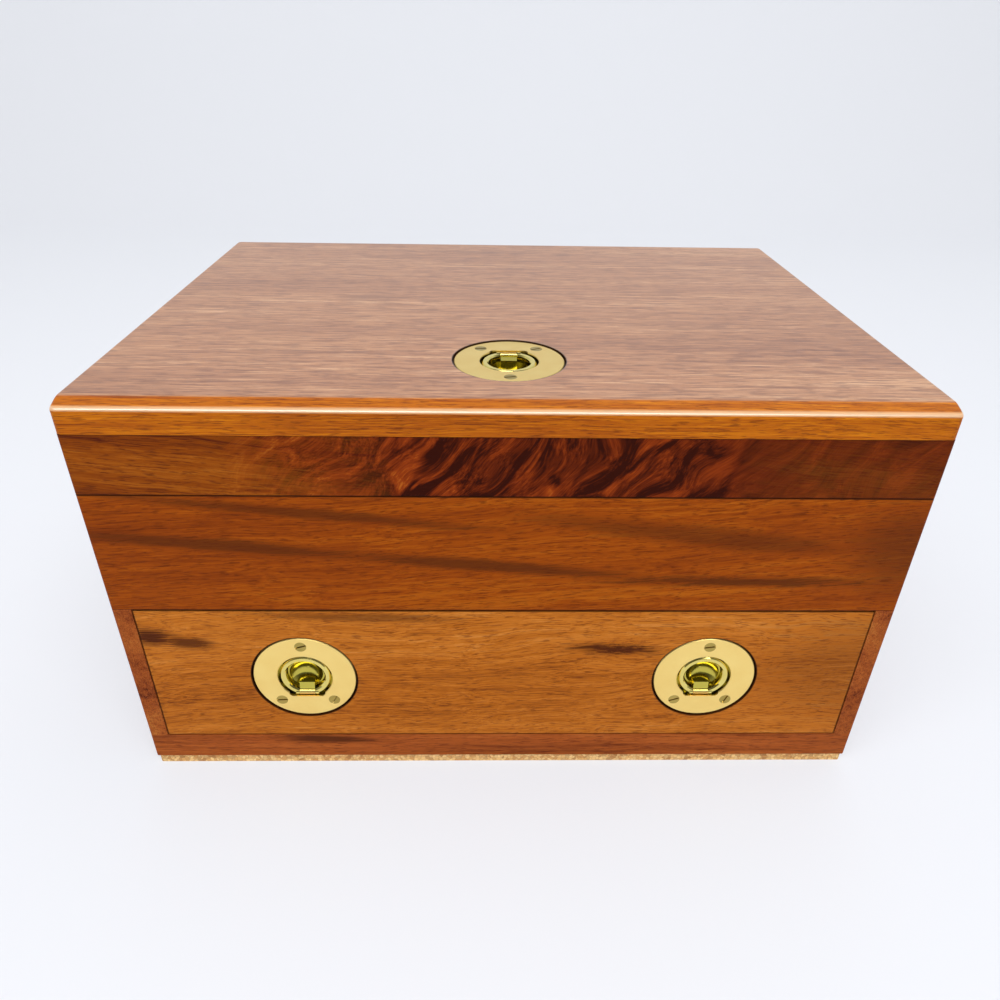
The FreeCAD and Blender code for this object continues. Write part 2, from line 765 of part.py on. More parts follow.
drawer_front = body("front_of_drawer")
front_y = ("drawer_face_y", "drawer_inner_face_y")
solid(drawer_front, "XZ", *front_y,
      rect("-drawer_half_width", "drawer_front_low_z", "drawer_half_width", "drawer_front_high_z"))
for side in SIDES.values():
    ends = sorted((f"{side} * drawer_half_width", f"{side} * drawer_inside_x"), key=number)
    hollow(drawer_front, "YZ", *ends, *tail_outlines())
floor_y = ("drawer_inner_face_y - groove_depth", "drawer_end_y")
floor_half = "(drawer_inside_x + groove_depth)"
hollow(drawer_front, "XZ", floor_y[0], front_y[1],
       rect(f"-{floor_half}", "drawer_floor_low_z", floor_half, "drawer_floor_z"))
for sign in SIDES.values():
    pull_hole(drawer_front, f"{sign} * drawer_pull_x", "drawer_pull_z", "drawer_face_y", "+")
keep(drawer_front, "drawer_front")

for side, sign in SIDES.items():
    panel = body(f"drawer_{side}")
    outer, inner = f"{sign} * drawer_half_width", f"{sign} * drawer_inside_x"
    solid(panel, "XY", "drawer_side_low_z", "drawer_side_high_z",
          rect(outer, "drawer_inner_face_y", inner, "drawer_end_y"))
    solid(panel, "YZ", *sorted((outer, inner), key=number), *tail_outlines())
    groove = sorted((inner, f"{sign} * {floor_half}"), key=number)
    hollow(panel, "YZ", *groove,
           rect(TAIL_END, "drawer_floor_low_z", "drawer_end_y", "drawer_floor_z"))
    keep(panel, f"drawer_side_{side}")
inside_x = ("-drawer_inside_x", "drawer_inside_x")
back_y = ("drawer_end_y - drawer_back_thickness", "drawer_end_y")
back_z = ("drawer_floor_z", "drawer_floor_z + drawer_back_height")
keep(board("back_of_drawer", inside_x, back_y, back_z), "drawer_back")
keep(board("floor_of_drawer", (f"-{floor_half}", floor_half), floor_y,
           ("drawer_floor_low_z", "drawer_floor_z")), "drawer_bottom")
keep(board("drawer_pad", inside_x, (front_y[1], back_y[0]),
           ("drawer_floor_z", "drawer_floor_z + lining_thickness")), "drawer_lining")

# Flush ring pulls, modelled face up with the hinge side towards minus y
RING_AXIS = ("-ring_pivot_reach", "-ring_pivot_depth")
CUP_FLOOR = "-cup_depth"


def pull_plate(name):
    """Round plate with a channel for the ring, a dished finger bowl and the hinge lug."""
    thing = body(name)
    edge = "plate_edge"
    turned(thing, [
        (f"cup_radius + {edge}", "0"), (f"plate_radius - {edge}", "0"), ("plate_radius", f"-{edge}"),
        ("plate_radius", "-plate_thickness"), ("cup_outer_radius", "-plate_thickness"),
        ("cup_outer_radius", f"{CUP_FLOOR} + cup_wall"), ("cup_outer_radius - cup_wall", CUP_FLOOR),
        ("0", CUP_FLOOR), ("0", "-bowl_rim_depth"), ("bowl_rim_radius", "-bowl_rim_depth"),
        ("bowl_rim_radius", "-channel_depth"), ("cup_radius", "-channel_depth"),
        ("cup_radius", f"-{edge}")])
    bowl = thing.newObject("PartDesign::SubtractiveSphere", f"{name}_bowl")
    tie(bowl, "Radius", "bowl_sphere")
    tie(bowl, "Placement.Base.z", "bowl_sphere - bowl_depth")
    notch, reach, corner = "notch_half_width", "-notch_reach", "notch_corner"
    hollow(thing, "XY", "-channel_depth", "0",
           [(f"-{notch}", "-bowl_rim_radius"), (f"-{notch}", f"{reach} + {corner}"),
            (f"-{notch} + {corner}", reach), (f"{notch} - {corner}", reach),
            (notch, f"{reach} + {corner}"), (notch, "-bowl_rim_radius")])
    solid(thing, "XY", "-channel_depth - 0.5", "0",
          rect(f"-{notch} + 2", "-cup_radius - 0.6", f"{notch} - 2", reach))
    lug = ("-lug_half_width", "lug_half_width")
    foot, shoulder = f"{CUP_FLOOR} + cup_wall / 2", "-(ring_pivot_reach - lug_radius * 0.7)"
    heel = "-ring_pivot_reach - lug_radius"
    solid(thing, "YZ", *lug,
          [(heel, foot), (heel, "-ring_pivot_depth"),
           (shoulder, "-ring_pivot_depth + lug_radius * 0.2"),
           ("-tongue_reach", "-ring_pivot_depth - 0.4"), ("-tongue_reach + 1", foot)])
    solid(thing, "YZ", *lug, disc(*RING_AXIS, "lug_radius"))
    seam = "lug_radius - seam_depth - ring_pivot_depth"
    hollow(thing, "YZ", *lug,
           rect("-ring_pivot_reach - seam_width / 2", seam, "-ring_pivot_reach + seam_width / 2", "0"))
    hollow(thing, "YZ", *lug, disc(*RING_AXIS, "pull_pin_radius"))
    hollow(thing, "XY", "-plate_thickness", "0",
           *[disc(x, y, "screw_shank_radius") for x, y in SCREW_SPOTS])
    chamfered(thing, "screw_head_radius - screw_shank_radius", circle_at("0", "screw_shank_radius"))
    return thing


def pull_ring(name):
    """Flat finger ring, open at the lug, with an eye on each end for the pin."""
    thing = body(name)
    low, high = "-ring_pivot_depth - ring_thickness / 2", "-ring_pivot_depth + ring_thickness / 2"
    inner, outer, edge = "ring_inner_radius", "ring_outer_radius", "ring_edge"
    turned(thing, [
        (f"{inner} + {edge}", low), (f"{outer} - {edge}", low), (outer, f"{low} + {edge}"),
        (outer, f"{high} - {edge}"), (f"{outer} - {edge}", high), (f"{inner} + {edge}", high),
        (inner, f"{high} - {edge}"), (inner, f"{low} + {edge}")])
    hollow(thing, "XY", f"{low} - 1", f"{high} + 1",
           rect("-eye_start", "-ring_outer_radius - 1", "eye_start", "-1"))
    for ends in (("-eye_end", "-eye_start"), ("eye_start", "eye_end")):
        solid(thing, "YZ", *ends, disc(*RING_AXIS, "eye_radius"))
    hollow(thing, "YZ", "-eye_end", "eye_end", disc(*RING_AXIS, "pull_pin_radius + pull_pin_fit"))
    return thing


pull_pin = body("pull_pin")
solid(pull_pin, "YZ", "-eye_end", "eye_end", disc(*RING_AXIS, "pull_pin_radius"))


def wood_screw(name, head, shank, length, head_height):
    """Countersunk slotted screw, its head's top at z 0 and its point down."""
    thing = body(name)
    turned(thing, [("0", "0"), (head, "0"), (shank, f"-{head_height}"),
                   (shank, f"-{length} + 2 * {shank}"), ("0", f"-{length}")])
    hollow(thing, "XY", "-screw_slot_depth", "0",
           rect(f"-{head} - 1", "-screw_slot_width / 2", f"{head} + 1", "screw_slot_width / 2"))
    return thing


pull_screw = wood_screw("pull_screw", "screw_head_radius", "screw_shank_radius", "screw_length",
                        "(screw_head_radius - screw_shank_radius)")

ON_LID = FreeCAD.Rotation(UP, 180)
ON_DRAWER = FreeCAD.Rotation(V(1, 0, 0), 90)
SLOT_TURNS = {"lid": (12, 28, 4), "left": (18, 4, 62), "right": (9, 21, 70)}


def pull_screws(which, x, y, z, turn):
    """The three screws of one plate, their slots left at odd angles."""
    screws = []
    for (across, up), slot in zip(SCREW_SPOTS, SLOT_TURNS[which]):
        twist = FreeCAD.Rotation(UP, slot)
        if which == "lid":
            spot = (f"{x} - ({across})", f"{y} - ({up})", z)
        else:
            spot = (f"{x} + ({across})", y, f"{z} + ({up})")
        screws.append(copy_of(pull_screw, *spot, turn.multiply(twist)))
    return screws


lid_spot = ("0", "lid_pull_y", "lid_pull_z")
keep(place(pull_plate("lid_plate"), *lid_spot, ON_LID), "lid_pull_plate")
keep(place(pull_ring("lid_ring"), *lid_spot, ON_LID), "lid_pull_ring")
keep(group("lid_pull_pin_set", [copy_of(pull_pin, *lid_spot, ON_LID)]), "lid_pull_pin")
keep(group("lid_pull_screw_set", pull_screws("lid", *lid_spot, ON_LID)), "lid_pull_screws")
drawer_pins, drawer_screws = [], []
for side, sign in SIDES.items():
    spot = (f"{sign} * drawer_pull_x", "drawer_pull_y", "drawer_pull_z")
    keep(place(pull_plate(f"{side}_plate"), *spot, ON_DRAWER), f"drawer_pull_plate_{side}")
    keep(place(pull_ring(f"{side}_ring"), *spot, ON_DRAWER), f"drawer_pull_ring_{side}")
    drawer_pins.append(copy_of(pull_pin, *spot, ON_DRAWER))
    drawer_screws += pull_screws(side, *spot, ON_DRAWER)
keep(group("drawer_pin_pair", drawer_pins), "drawer_pull_pins")
keep(group("drawer_screw_set", drawer_screws), "drawer_pull_screws")

# Stop hinges: axis just behind the case, leaves let into the rim and the lid rail,
# opposed lugs beside the knuckles that meet when the lid is open
HALF_LEAF = "leaf_length / 2"
KNUCKLE_IN = "(leaf_length / 2 - end_knuckle)"
MIDDLE_KNUCKLE = "(leaf_length / 2 - end_knuckle - knuckle_space)"


def hinge_leaf(name, sign, knuckles, lugs):
    """One leaf: sign is -1 for the leaf in the case and 1 for the leaf in the lid."""
    thing = body(name)
    faces = sorted((f"{sign} * seam_gap / 2", f"{sign} * (seam_gap / 2 + leaf_thickness)"), key=number)
    edge = "-(barrel_radius + barrel_gap)"
    solid(thing, "XY", *faces, rect(f"-{HALF_LEAF}", "-leaf_reach", HALF_LEAF, edge))
    for start, end in knuckles:
        solid(thing, "XY", *faces, rect(start, f"{edge} - 1", end, "0"))
        solid(thing, "YZ", start, end, disc("0", "0", "barrel_radius"))
    inner, outer = "hinge_pin_radius + 0.35", "stop_reach"
    for start, end in lugs:
        solid(thing, "YZ", start, end, [
            (f"({inner}) * cos(stop_angle)", f"{sign} * ({inner}) * sin(stop_angle)"),
            (f"{outer} * cos(stop_angle)", f"{sign} * {outer} * sin(stop_angle)"),
            ("0", f"{sign} * {outer}"), ("0", f"{sign} * ({inner})")])
    hollow(thing, "YZ", f"-{HALF_LEAF}", HALF_LEAF, disc("0", "0", "hinge_pin_radius + hinge_pin_fit"))
    hollow(thing, "XY", *faces,
           *[disc(f"{side} * hinge_screw_spacing / 2", HINGE_SCREW_Y, "hinge_screw_shank")
             for side in SIDES.values()])
    seam_face = f"{sign} * seam_gap / 2"
    chamfered(thing, "hinge_screw_head - hinge_screw_shank", circle_at(seam_face, "hinge_screw_shank"))
    return thing


HINGE_SCREW_Y = "-(leaf_reach + barrel_radius) / 2"
case_knuckles = [(f"-{HALF_LEAF}", f"-{KNUCKLE_IN}"), (KNUCKLE_IN, HALF_LEAF)]
case_lugs = [(f"-{KNUCKLE_IN} - 0.5", f"-{MIDDLE_KNUCKLE} - 0.4"),
             (f"{MIDDLE_KNUCKLE} + 0.4", f"{KNUCKLE_IN} + 0.5")]
lid_knuckles = [(f"-{MIDDLE_KNUCKLE}", MIDDLE_KNUCKLE)]
lid_lugs = [(f"-{KNUCKLE_IN} + 0.4", f"-{MIDDLE_KNUCKLE} + 0.5"),
            (f"{MIDDLE_KNUCKLE} - 0.5", f"{KNUCKLE_IN} - 0.4")]
case_leaf = hinge_leaf("case_leaf", "-1", case_knuckles, case_lugs)
lid_leaf = hinge_leaf("lid_leaf", "1", lid_knuckles, lid_lugs)
hinge_pin = body("hinge_pin")
solid(hinge_pin, "YZ", f"-{HALF_LEAF}", HALF_LEAF, disc("0", "0", "hinge_pin_radius"))
hinge_screw = wood_screw("hinge_screw", "hinge_screw_head", "hinge_screw_shank", "hinge_screw_length",
                         "(hinge_screw_head - hinge_screw_shank)")
hinge_spots = [(f"{sign} * hinge_x", "hinge_y", "hinge_z") for sign in SIDES.values()]
for source, label in ((case_leaf, "hinge_case_leaves"), (lid_leaf, "hinge_lid_leaves"),
                      (hinge_pin, "hinge_pins")):
    keep(group(f"{label}_set", [copy_of(source, *spot) for spot in hinge_spots]), label)

TURNED_UP = FreeCAD.Rotation(V(1, 0, 0), 180)
for label, sign, turn in (("hinge_case_screws", "-1", FreeCAD.Rotation()),
                          ("hinge_lid_screws", "1", TURNED_UP)):
    screws = []
    for x, y, z in hinge_spots:
        for side in SIDES.values():
            spot = (f"{x} + {side} * hinge_screw_spacing / 2", f"{y} + {HINGE_SCREW_Y}",
                    f"{z} + {sign} * seam_gap / 2")
            screws.append(copy_of(hinge_screw, *spot, turn))
    keep(group(f"{label}_set", screws), label)


def hinge_seats(owner, low, high, screw_low, screw_high):
    """Recesses for the two leaves and pilot holes for their screws."""
    for x, y, z in hinge_spots:
        hollow(owner, "XY", low, high,
               rect(f"{x} - {HALF_LEAF}", "hinge_y - leaf_reach", f"{x} + {HALF_LEAF}", "half_depth + 1"))
        hollow(owner, "XY", screw_low, screw_high,
               *[disc(f"{x} + {side} * hinge_screw_spacing / 2", f"hinge_y + {HINGE_SCREW_Y}",
                      "hinge_screw_shank") for side in SIDES.values()])


hinge_seats(back_panel, "rim_z - leaf_thickness", "rim_z", "rim_z - hinge_screw_length", "rim_z")
hinge_seats(lid_rail_back, "lid_low_z", "lid_low_z + leaf_thickness",
            "lid_low_z", "lid_low_z + hinge_screw_length")

# Key hole and stop plunger groove in the back panel
hollow(back_panel, "XZ", "inner_y", "half_depth", disc("key_x", "key_z", "key_hole_radius"))
plunger_room = "(plunger_radius + plunger_gap)"
hollow(back_panel, "XY", "rim_z - plunger_length - plunger_gap", "rim_z",
       rect(f"plunger_x - {plunger_room}", "inner_y", f"plunger_x + {plunger_room}",
            f"plunger_y + {plunger_room}"))

# Lift-out tray: mitred frame, floor, dividers and a row of padded ring rolls
frame_z = ("tray_low_z", "tray_top_z")


def tray_end(name, x_out, x_in):
    thing = body(name)
    solid(thing, "XY", *frame_z,
          [(x_out, "tray_front_y"), (x_in, "tray_inside_front_y"),
           (x_in, "tray_inside_back_y"), (x_out, "tray_back_y")])
    return thing


def tray_length(name, y_out, y_in):
    thing = body(name)
    solid(thing, "XY", *frame_z,
          [("-tray_half_width", y_out), ("-tray_inside_x", y_in),
           ("tray_inside_x", y_in), ("tray_half_width", y_out)])
    return thing


tray_frame = [tray_end("tray_left", "-tray_half_width", "-tray_inside_x"),
              tray_end("tray_right", "tray_half_width", "tray_inside_x"),
              tray_length("tray_front", "tray_front_y", "tray_inside_front_y"),
              tray_length("tray_back", "tray_back_y", "tray_inside_back_y")]
keep(group("tray_frame_set", tray_frame), "tray_frame")
tray_x = ("-tray_inside_x", "tray_inside_x")
tray_y = ("tray_inside_front_y", "tray_inside_back_y")
keep(board("tray_base", tray_x, tray_y, ("tray_low_z", "tray_floor_z")), "tray_floor")
divider_z = ("tray_floor_z", "divider_z")
left_wall = ("left_divider_x", "left_divider_x + divider_thickness")
right_wall = ("right_divider_x", "right_divider_x + divider_thickness")
dividers = [board("long_divider", wall, tray_y, divider_z) for wall in (left_wall, right_wall)]


def cross_divider(bay, share):
    middle = f"(tray_inside_front_y + tray_run * {share})"
    span = (f"{middle} - divider_thickness / 2", f"{middle} + divider_thickness / 2")
    return board("cross_divider", bay, span, divider_z)


middle_bay = (left_wall[1], right_wall[0])
right_bay = (right_wall[1], "tray_inside_x")
dividers += [cross_divider(middle_bay, "1 / 2"), cross_divider(right_bay, "1 / 3"),
             cross_divider(right_bay, "2 / 3")]
keep(group("divider_set", dividers), "tray_dividers")

roll = body("ring_roll")
ROLL_CENTRE = "roll_radius * 0.8"
roll_x = ("0.3", "ring_bay_width - 0.3")
solid(roll, "YZ", *roll_x, disc("0", ROLL_CENTRE, "roll_radius"))
hollow(roll, "YZ", *roll_x, rect("-roll_radius - 1", "-roll_radius - 1", "roll_radius + 1", "0"))
ROLL_PITCH = "tray_run / roll_count"
rolls = [copy_of(roll, "-tray_inside_x", f"tray_inside_front_y + {ROLL_PITCH} * ({index} + 1 / 2)",
                 "tray_floor_z")
         for index in range(SIZES["roll_count"])]
keep(group("roll_set", rolls), "ring_rolls")

tray_pad_z = ("tray_floor_z", "tray_floor_z + tray_lining_thickness")


def cell_pads(bay, cells):
    """Lining pieces on the floor of one bay, between its cross dividers."""
    pads = []
    for cell in range(cells):
        low = f"tray_inside_front_y + tray_run * {cell} / {cells}"
        high = f"tray_inside_front_y + tray_run * {cell + 1} / {cells}"
        low += " + divider_thickness / 2" if cell else ""
        high += " - divider_thickness / 2" if cell < cells - 1 else ""
        pads.append(board("cell_pad", bay, (low, high), tray_pad_z))
    return pads


keep(group("cell_pad_set", cell_pads(middle_bay, 2) + cell_pads(right_bay, 3)), "tray_linings")

# Music works, modelled flat on the bedplate: x along it, y up the case, z out from the back
STANDING = ON_DRAWER


def in_works(thing, along="0", rise="0", out="0"):
    spot = (f"works_shift + ({along})", f"works_y - ({out})", f"works_z + ({rise})")
    return place(thing, *spot, STANDING)


def teeth(owner, start, end, count, module):
    """Straight teeth round the body's X axis, the first one standing towards plus y."""
    root = f"{module} * ({count} / 2 - tooth_below) - 0.1"
    tip = f"{module} * ({count} / 2 + tooth_above)"
    wide, narrow = f"{module} * tooth_root", f"{module} * tooth_tip"
    tooth = solid(owner, "YZ", start, end,
                  [(root, f"-{wide}"), (tip, f"-{narrow}"), (tip, narrow), (root, wide)])
    return around(owner, tooth, "X", count)


def root_of(count, module):
    return f"{module} * ({count} / 2 - tooth_below)"


# Cast bedplate with bearing posts and the comb's seat
POST_TOP = "cylinder_out + 2.5"
LEFT_POST = ("cylinder_start - 0.7 - bearing_width", "cylinder_start - 0.7")
RIGHT_POST = ("bearing_start", "bearing_start + bearing_width")
END_POST = ("worm_wheel_start + worm_wheel_width + 1.5", "worm_wheel_start + worm_wheel_width + 2.7")
COMB_X = ("first_note - 2.5", "first_note + note_pitch * (note_count - 1) + 2.5")
COMB_SCREWS = [("first_note + 2", "comb_root + comb_base_depth / 2"),
               ("first_note + note_pitch * (note_count - 1) - 2", "comb_root + comb_base_depth / 2")]
PLATE_SCREWS = [("bedplate_left + 4", "4"), ("bedplate_left + 4", "bedplate_height - 4"),
                ("bearing_start + bearing_width / 2", "bedplate_height - 4")]
bedplate = body("works_plate")
solid(bedplate, "XY", "-bedplate_thickness", "0",
      rect("bedplate_left", "0", "bedplate_right", "bedplate_height"))
for x_end in ("bedplate_left", "bedplate_right"):
    rounded(bedplate, "2", upright_at(x_end))
for post, post_height in ((LEFT_POST, "axis_rise + 4"), (RIGHT_POST, "axis_rise + 4"),
                          (END_POST, "governor_rise + 4")):
    solid(bedplate, "XY", "0", POST_TOP, rect(post[0], "5", post[1], post_height))
COMB_SEAT = rect(COMB_X[0], "comb_root", COMB_X[1], "comb_root + comb_base_depth")
solid(bedplate, "XY", "0", "comb_under", COMB_SEAT)
FINE_BORE = "fine_arbor_radius + fine_fit"
for post in (LEFT_POST, RIGHT_POST):
    hollow(bedplate, "YZ", *post, disc("axis_rise", "cylinder_out", FINE_BORE))
for post in (RIGHT_POST, END_POST):
    hollow(bedplate, "YZ", *post, disc("governor_rise", "cylinder_out", FINE_BORE))
hollow(bedplate, "XY", "-bedplate_thickness", "0",
       disc("key_axis_along", "axis_rise", "arbor_radius + arbor_fit"))
hollow(bedplate, "XY", "-bedplate_thickness", "0",
       *[disc(x, y, "hinge_screw_shank") for x, y in PLATE_SCREWS])
hollow(bedplate, "XY", "cylinder_out + 0.8 - hinge_screw_length", "comb_under",
       *[disc(x, y, "hinge_screw_shank") for x, y in COMB_SCREWS])
chamfered(bedplate, "hinge_screw_head - hinge_screw_shank", circle_at("0", "hinge_screw_shank"))
keep(in_works(bedplate), "music_bedplate")

# Spring housing, and the crown wheel on the arbor that the key turns
housing = body("housing")
HOUSING_BORE = "arbor_radius + arbor_fit"
turned(housing, [
    (HOUSING_BORE, "0"), ("housing_radius", "0"), ("housing_radius", "housing_depth - 0.8"),
    ("housing_radius - 0.8", "housing_depth"), ("housing_radius - 3", "housing_depth"),
    ("housing_radius - 3.6", "housing_depth - 0.5"), (HOUSING_BORE, "housing_depth - 0.5")])
keep(in_works(housing, "key_axis_along", "axis_rise"), "spring_housing")
crown = body("crown")
CROWN_TOP = "crown_lift + crown_disc"
KEY_END = "bedplate_thickness + wall + key_stand_off + key_hub_length - 1.5"
turned(crown, [
    ("0", f"-({KEY_END})"), ("arbor_radius", f"-({KEY_END})"), ("arbor_radius", "crown_lift"),
    ("crown_outer", "crown_lift"), ("crown_outer", CROWN_TOP), ("2 * arbor_radius", CROWN_TOP),
    ("2 * arbor_radius", f"{CROWN_TOP} + 1"), ("0", f"{CROWN_TOP} + 1")])
crown_tip = "cylinder_out - crown_module * (crown_pinion_teeth / 2 - tooth_below) - 0.2"
crown_root, crown_point = "crown_module * tooth_root * 0.85", "crown_module * tooth_tip * 0.85"
crown_tooth = solid(crown, "YZ", "crown_inner", "crown_outer",
                    [(f"-{crown_root}", f"{CROWN_TOP} - 0.1"), (crown_root, f"{CROWN_TOP} - 0.1"),
                     (crown_point, crown_tip), (f"-{crown_point}", crown_tip)])
around(crown, crown_tooth, "Z", "crown_teeth")
keep(in_works(crown, "key_axis_along", "axis_rise"), "crown_wheel_and_arbor")

# Pinned cylinder between its crown pinion and its gear
cylinder = body("cylinder")
PINION = ("key_axis_along + crown_inner + 0.1", "key_axis_along + crown_outer")
CYLINDER_END = "cylinder_start + cylinder_length"
GEAR_END = "gear_start + gear_width"
fine, pinion_root = "fine_arbor_radius", root_of("crown_pinion_teeth", "crown_module")
turned(cylinder, [
    (f"{PINION[0]} - 0.6", "0"), (f"{PINION[0]} - 0.6", fine), (PINION[0], fine),
    (PINION[0], pinion_root), (PINION[1], pinion_root), (PINION[1], fine), ("cylinder_start", fine),
    ("cylinder_start", "cylinder_radius - 0.3"), ("cylinder_start + 0.3", "cylinder_radius"),
    (CYLINDER_END, "cylinder_radius"), (CYLINDER_END, "2"), ("gear_start", "2"),
    ("gear_start", root_of("cylinder_gear_teeth", "gear_module")),
    (GEAR_END, root_of("cylinder_gear_teeth", "gear_module")), (GEAR_END, fine),
    (f"{RIGHT_POST[1]} + 0.4", fine), (f"{RIGHT_POST[1]} + 0.4", "0")], "X")
teeth(cylinder, *PINION, "crown_pinion_teeth", "crown_module")
teeth(cylinder, "gear_start", GEAR_END, "cylinder_gear_teeth", "gear_module")
TUNE = [(20, 140, 250), (65, 190, 300), (5, 100, 225), (80, 160, 290), (45, 205, 330), (120, 235, 350),
        (10, 150, 270), (55, 170, 310), (95, 215, 340), (30, 130, 260), (75, 180, 320), (15, 110, 240),
        (60, 200, 285), (90, 165, 345), (35, 145, 230), (70, 195, 305), (25, 125, 275), (50, 155, 335)]
pin_foot, pin_tip, half_pin = "cylinder_radius - 0.3", "cylinder_radius + pin_height", "pin_width / 2"


def pin_outline(angle):
    """Small rectangle standing on the cylinder at an angle from plus y."""
    def corner(out, side):
        return (f"({out}) * cos({angle}) - ({side}) * sin({angle})",
                f"({out}) * sin({angle}) + ({side}) * cos({angle})")
    return [corner(pin_foot, f"-{half_pin}"), corner(pin_tip, f"-{half_pin}"),
            corner(pin_tip, half_pin), corner(pin_foot, half_pin)]


for note, angles in enumerate(TUNE):
    middle = f"first_note + {note} * note_pitch"
    solid(cylinder, "YZ", f"{middle} - {half_pin}", f"{middle} + {half_pin}",
          *[pin_outline(angle) for angle in angles])
keep(in_works(cylinder, "0", "axis_rise", "cylinder_out"), "music_cylinder")

# Steel comb and the screws of the works
comb = body("comb_plate")
COMB_TOP = "cylinder_out + 0.8"
solid(comb, "XY", "comb_under", COMB_TOP, COMB_SEAT)
half_tooth, half_thickness = "comb_tooth_width / 2", "comb_tooth_thickness / 2"
tooth = solid(comb, "XY", f"cylinder_out - {half_thickness}", f"cylinder_out + {half_thickness}",
              rect(f"first_note - {half_tooth}", "comb_tip",
                   f"first_note + {half_tooth}", "comb_root + 0.5"))
in_line(comb, tooth, "X", "note_pitch * (note_count - 1)", "note_count")
hollow(comb, "XY", "comb_under", COMB_TOP,
       *[disc(x, y, "hinge_screw_shank") for x, y in COMB_SCREWS])
chamfered(comb, "hinge_screw_head - hinge_screw_shank", circle_at(COMB_TOP, "hinge_screw_shank"))
keep(in_works(comb), "music_comb")
works_screws = []
for spots, out in ((PLATE_SCREWS, "0"), (COMB_SCREWS, COMB_TOP)):
    for x, y in spots:
        spot = (f"works_shift + {x}", f"works_y - ({out})", f"works_z + {y}")
        works_screws.append(copy_of(hinge_screw, *spot, STANDING))
keep(group("works_screw_set", works_screws), "music_works_screws")
hollow(back_panel, "XZ", "inner_y", "works_y + hinge_screw_length",
       *[disc(f"works_shift + {x}", f"works_z + {y}", "hinge_screw_shank") for x, y in PLATE_SCREWS])

# Governor: frame, geared wheel, and the worm that spins the fan
governor_frame = body("worm_frame")
ARM = ("worm_along - 3.25", "worm_along + 3.25")
solid(governor_frame, "XY", "0", "frame_foot",
      rect(ARM[0], "frame_low", "worm_along + 1.75", "frame_high + frame_foot"))
for level in ("frame_low", "frame_high"):
    solid(governor_frame, "XZ", level, f"{level} + frame_foot",
          rect(ARM[0], "0", ARM[1], "worm_out + 2.6"))
hollow(governor_frame, "XZ", "frame_low", "frame_high + frame_foot",
       disc("worm_along", "worm_out", FINE_BORE))
keep(in_works(governor_frame), "governor_frame")

governor_wheel = body("worm_wheel")
WHEEL_END = "worm_wheel_start + worm_wheel_width"
governor_root = root_of("governor_pinion_teeth", "gear_module")
wheel_root = root_of("worm_wheel_teeth", "gear_module")
turned(governor_wheel, [
    ("gear_start", "0"), ("gear_start", governor_root), (GEAR_END, governor_root), (GEAR_END, fine),
    ("worm_wheel_start - 0.5", fine), ("worm_wheel_start - 0.5", "2 * fine_arbor_radius"),
    ("worm_wheel_start", "2 * fine_arbor_radius"), ("worm_wheel_start", wheel_root),
    (WHEEL_END, wheel_root), (WHEEL_END, "2 * fine_arbor_radius"),
    (f"{WHEEL_END} + 0.5", "2 * fine_arbor_radius"), (f"{WHEEL_END} + 0.5", fine),
    (f"{END_POST[1]} + 0.3", fine), (f"{END_POST[1]} + 0.3", "0")], "X")
teeth(governor_wheel, "gear_start", GEAR_END, "governor_pinion_teeth", "gear_module")
teeth(governor_wheel, "worm_wheel_start", WHEEL_END, "worm_wheel_teeth", "gear_module")
keep(in_works(governor_wheel, "0", "governor_rise", "cylinder_out"), "governor_wheel")

fan = body("fan")
thread_root = "worm_radius - tooth_below * gear_module"
thread_tip = "worm_radius + tooth_above * gear_module"
FAN_TOP = "fan_start + fan_height"
turned(fan, [
    ("0", "frame_low + 0.2"), (fine, "frame_low + 0.2"), (fine, "worm_start - worm_pitch / 4"),
    (thread_root, "worm_start - worm_pitch / 4"),
    (thread_root, "worm_start + (worm_turns + 1 / 4) * worm_pitch"),
    (fine, "worm_start + (worm_turns + 1 / 4) * worm_pitch"), (fine, "fan_start"),
    ("2 * fine_arbor_radius", "fan_start"), ("2 * fine_arbor_radius", FAN_TOP), (fine, FAN_TOP),
    (fine, "fan_arbor_top"), ("0", "fan_arbor_top")])
thread = fan.newObject("PartDesign::AdditiveHelix", "fan_thread")
thread.Profile = sketch_on(fan, "XZ", "0", [[
    (f"{thread_root} - 0.1", "worm_start - gear_module * tooth_root"),
    (thread_tip, "worm_start - thread_half_width"), (thread_tip, "worm_start + thread_half_width"),
    (f"{thread_root} - 0.1", "worm_start + gear_module * tooth_root")]])
thread.ReferenceAxis = (own(fan, "Z_Axis"), [""])
thread.Mode = "pitch-turns-angle"
tie(thread, "Pitch", "worm_pitch")
tie(thread, "Turns", "worm_turns")
solid(fan, "XZ", "-fan_thickness / 2", "fan_thickness / 2",
      rect("-fan_radius", "fan_start + 0.5", "fan_radius", f"{FAN_TOP} - 0.5"))
keep(place(fan, "plunger_x", "worm_y", "works_z"), "governor_fan")

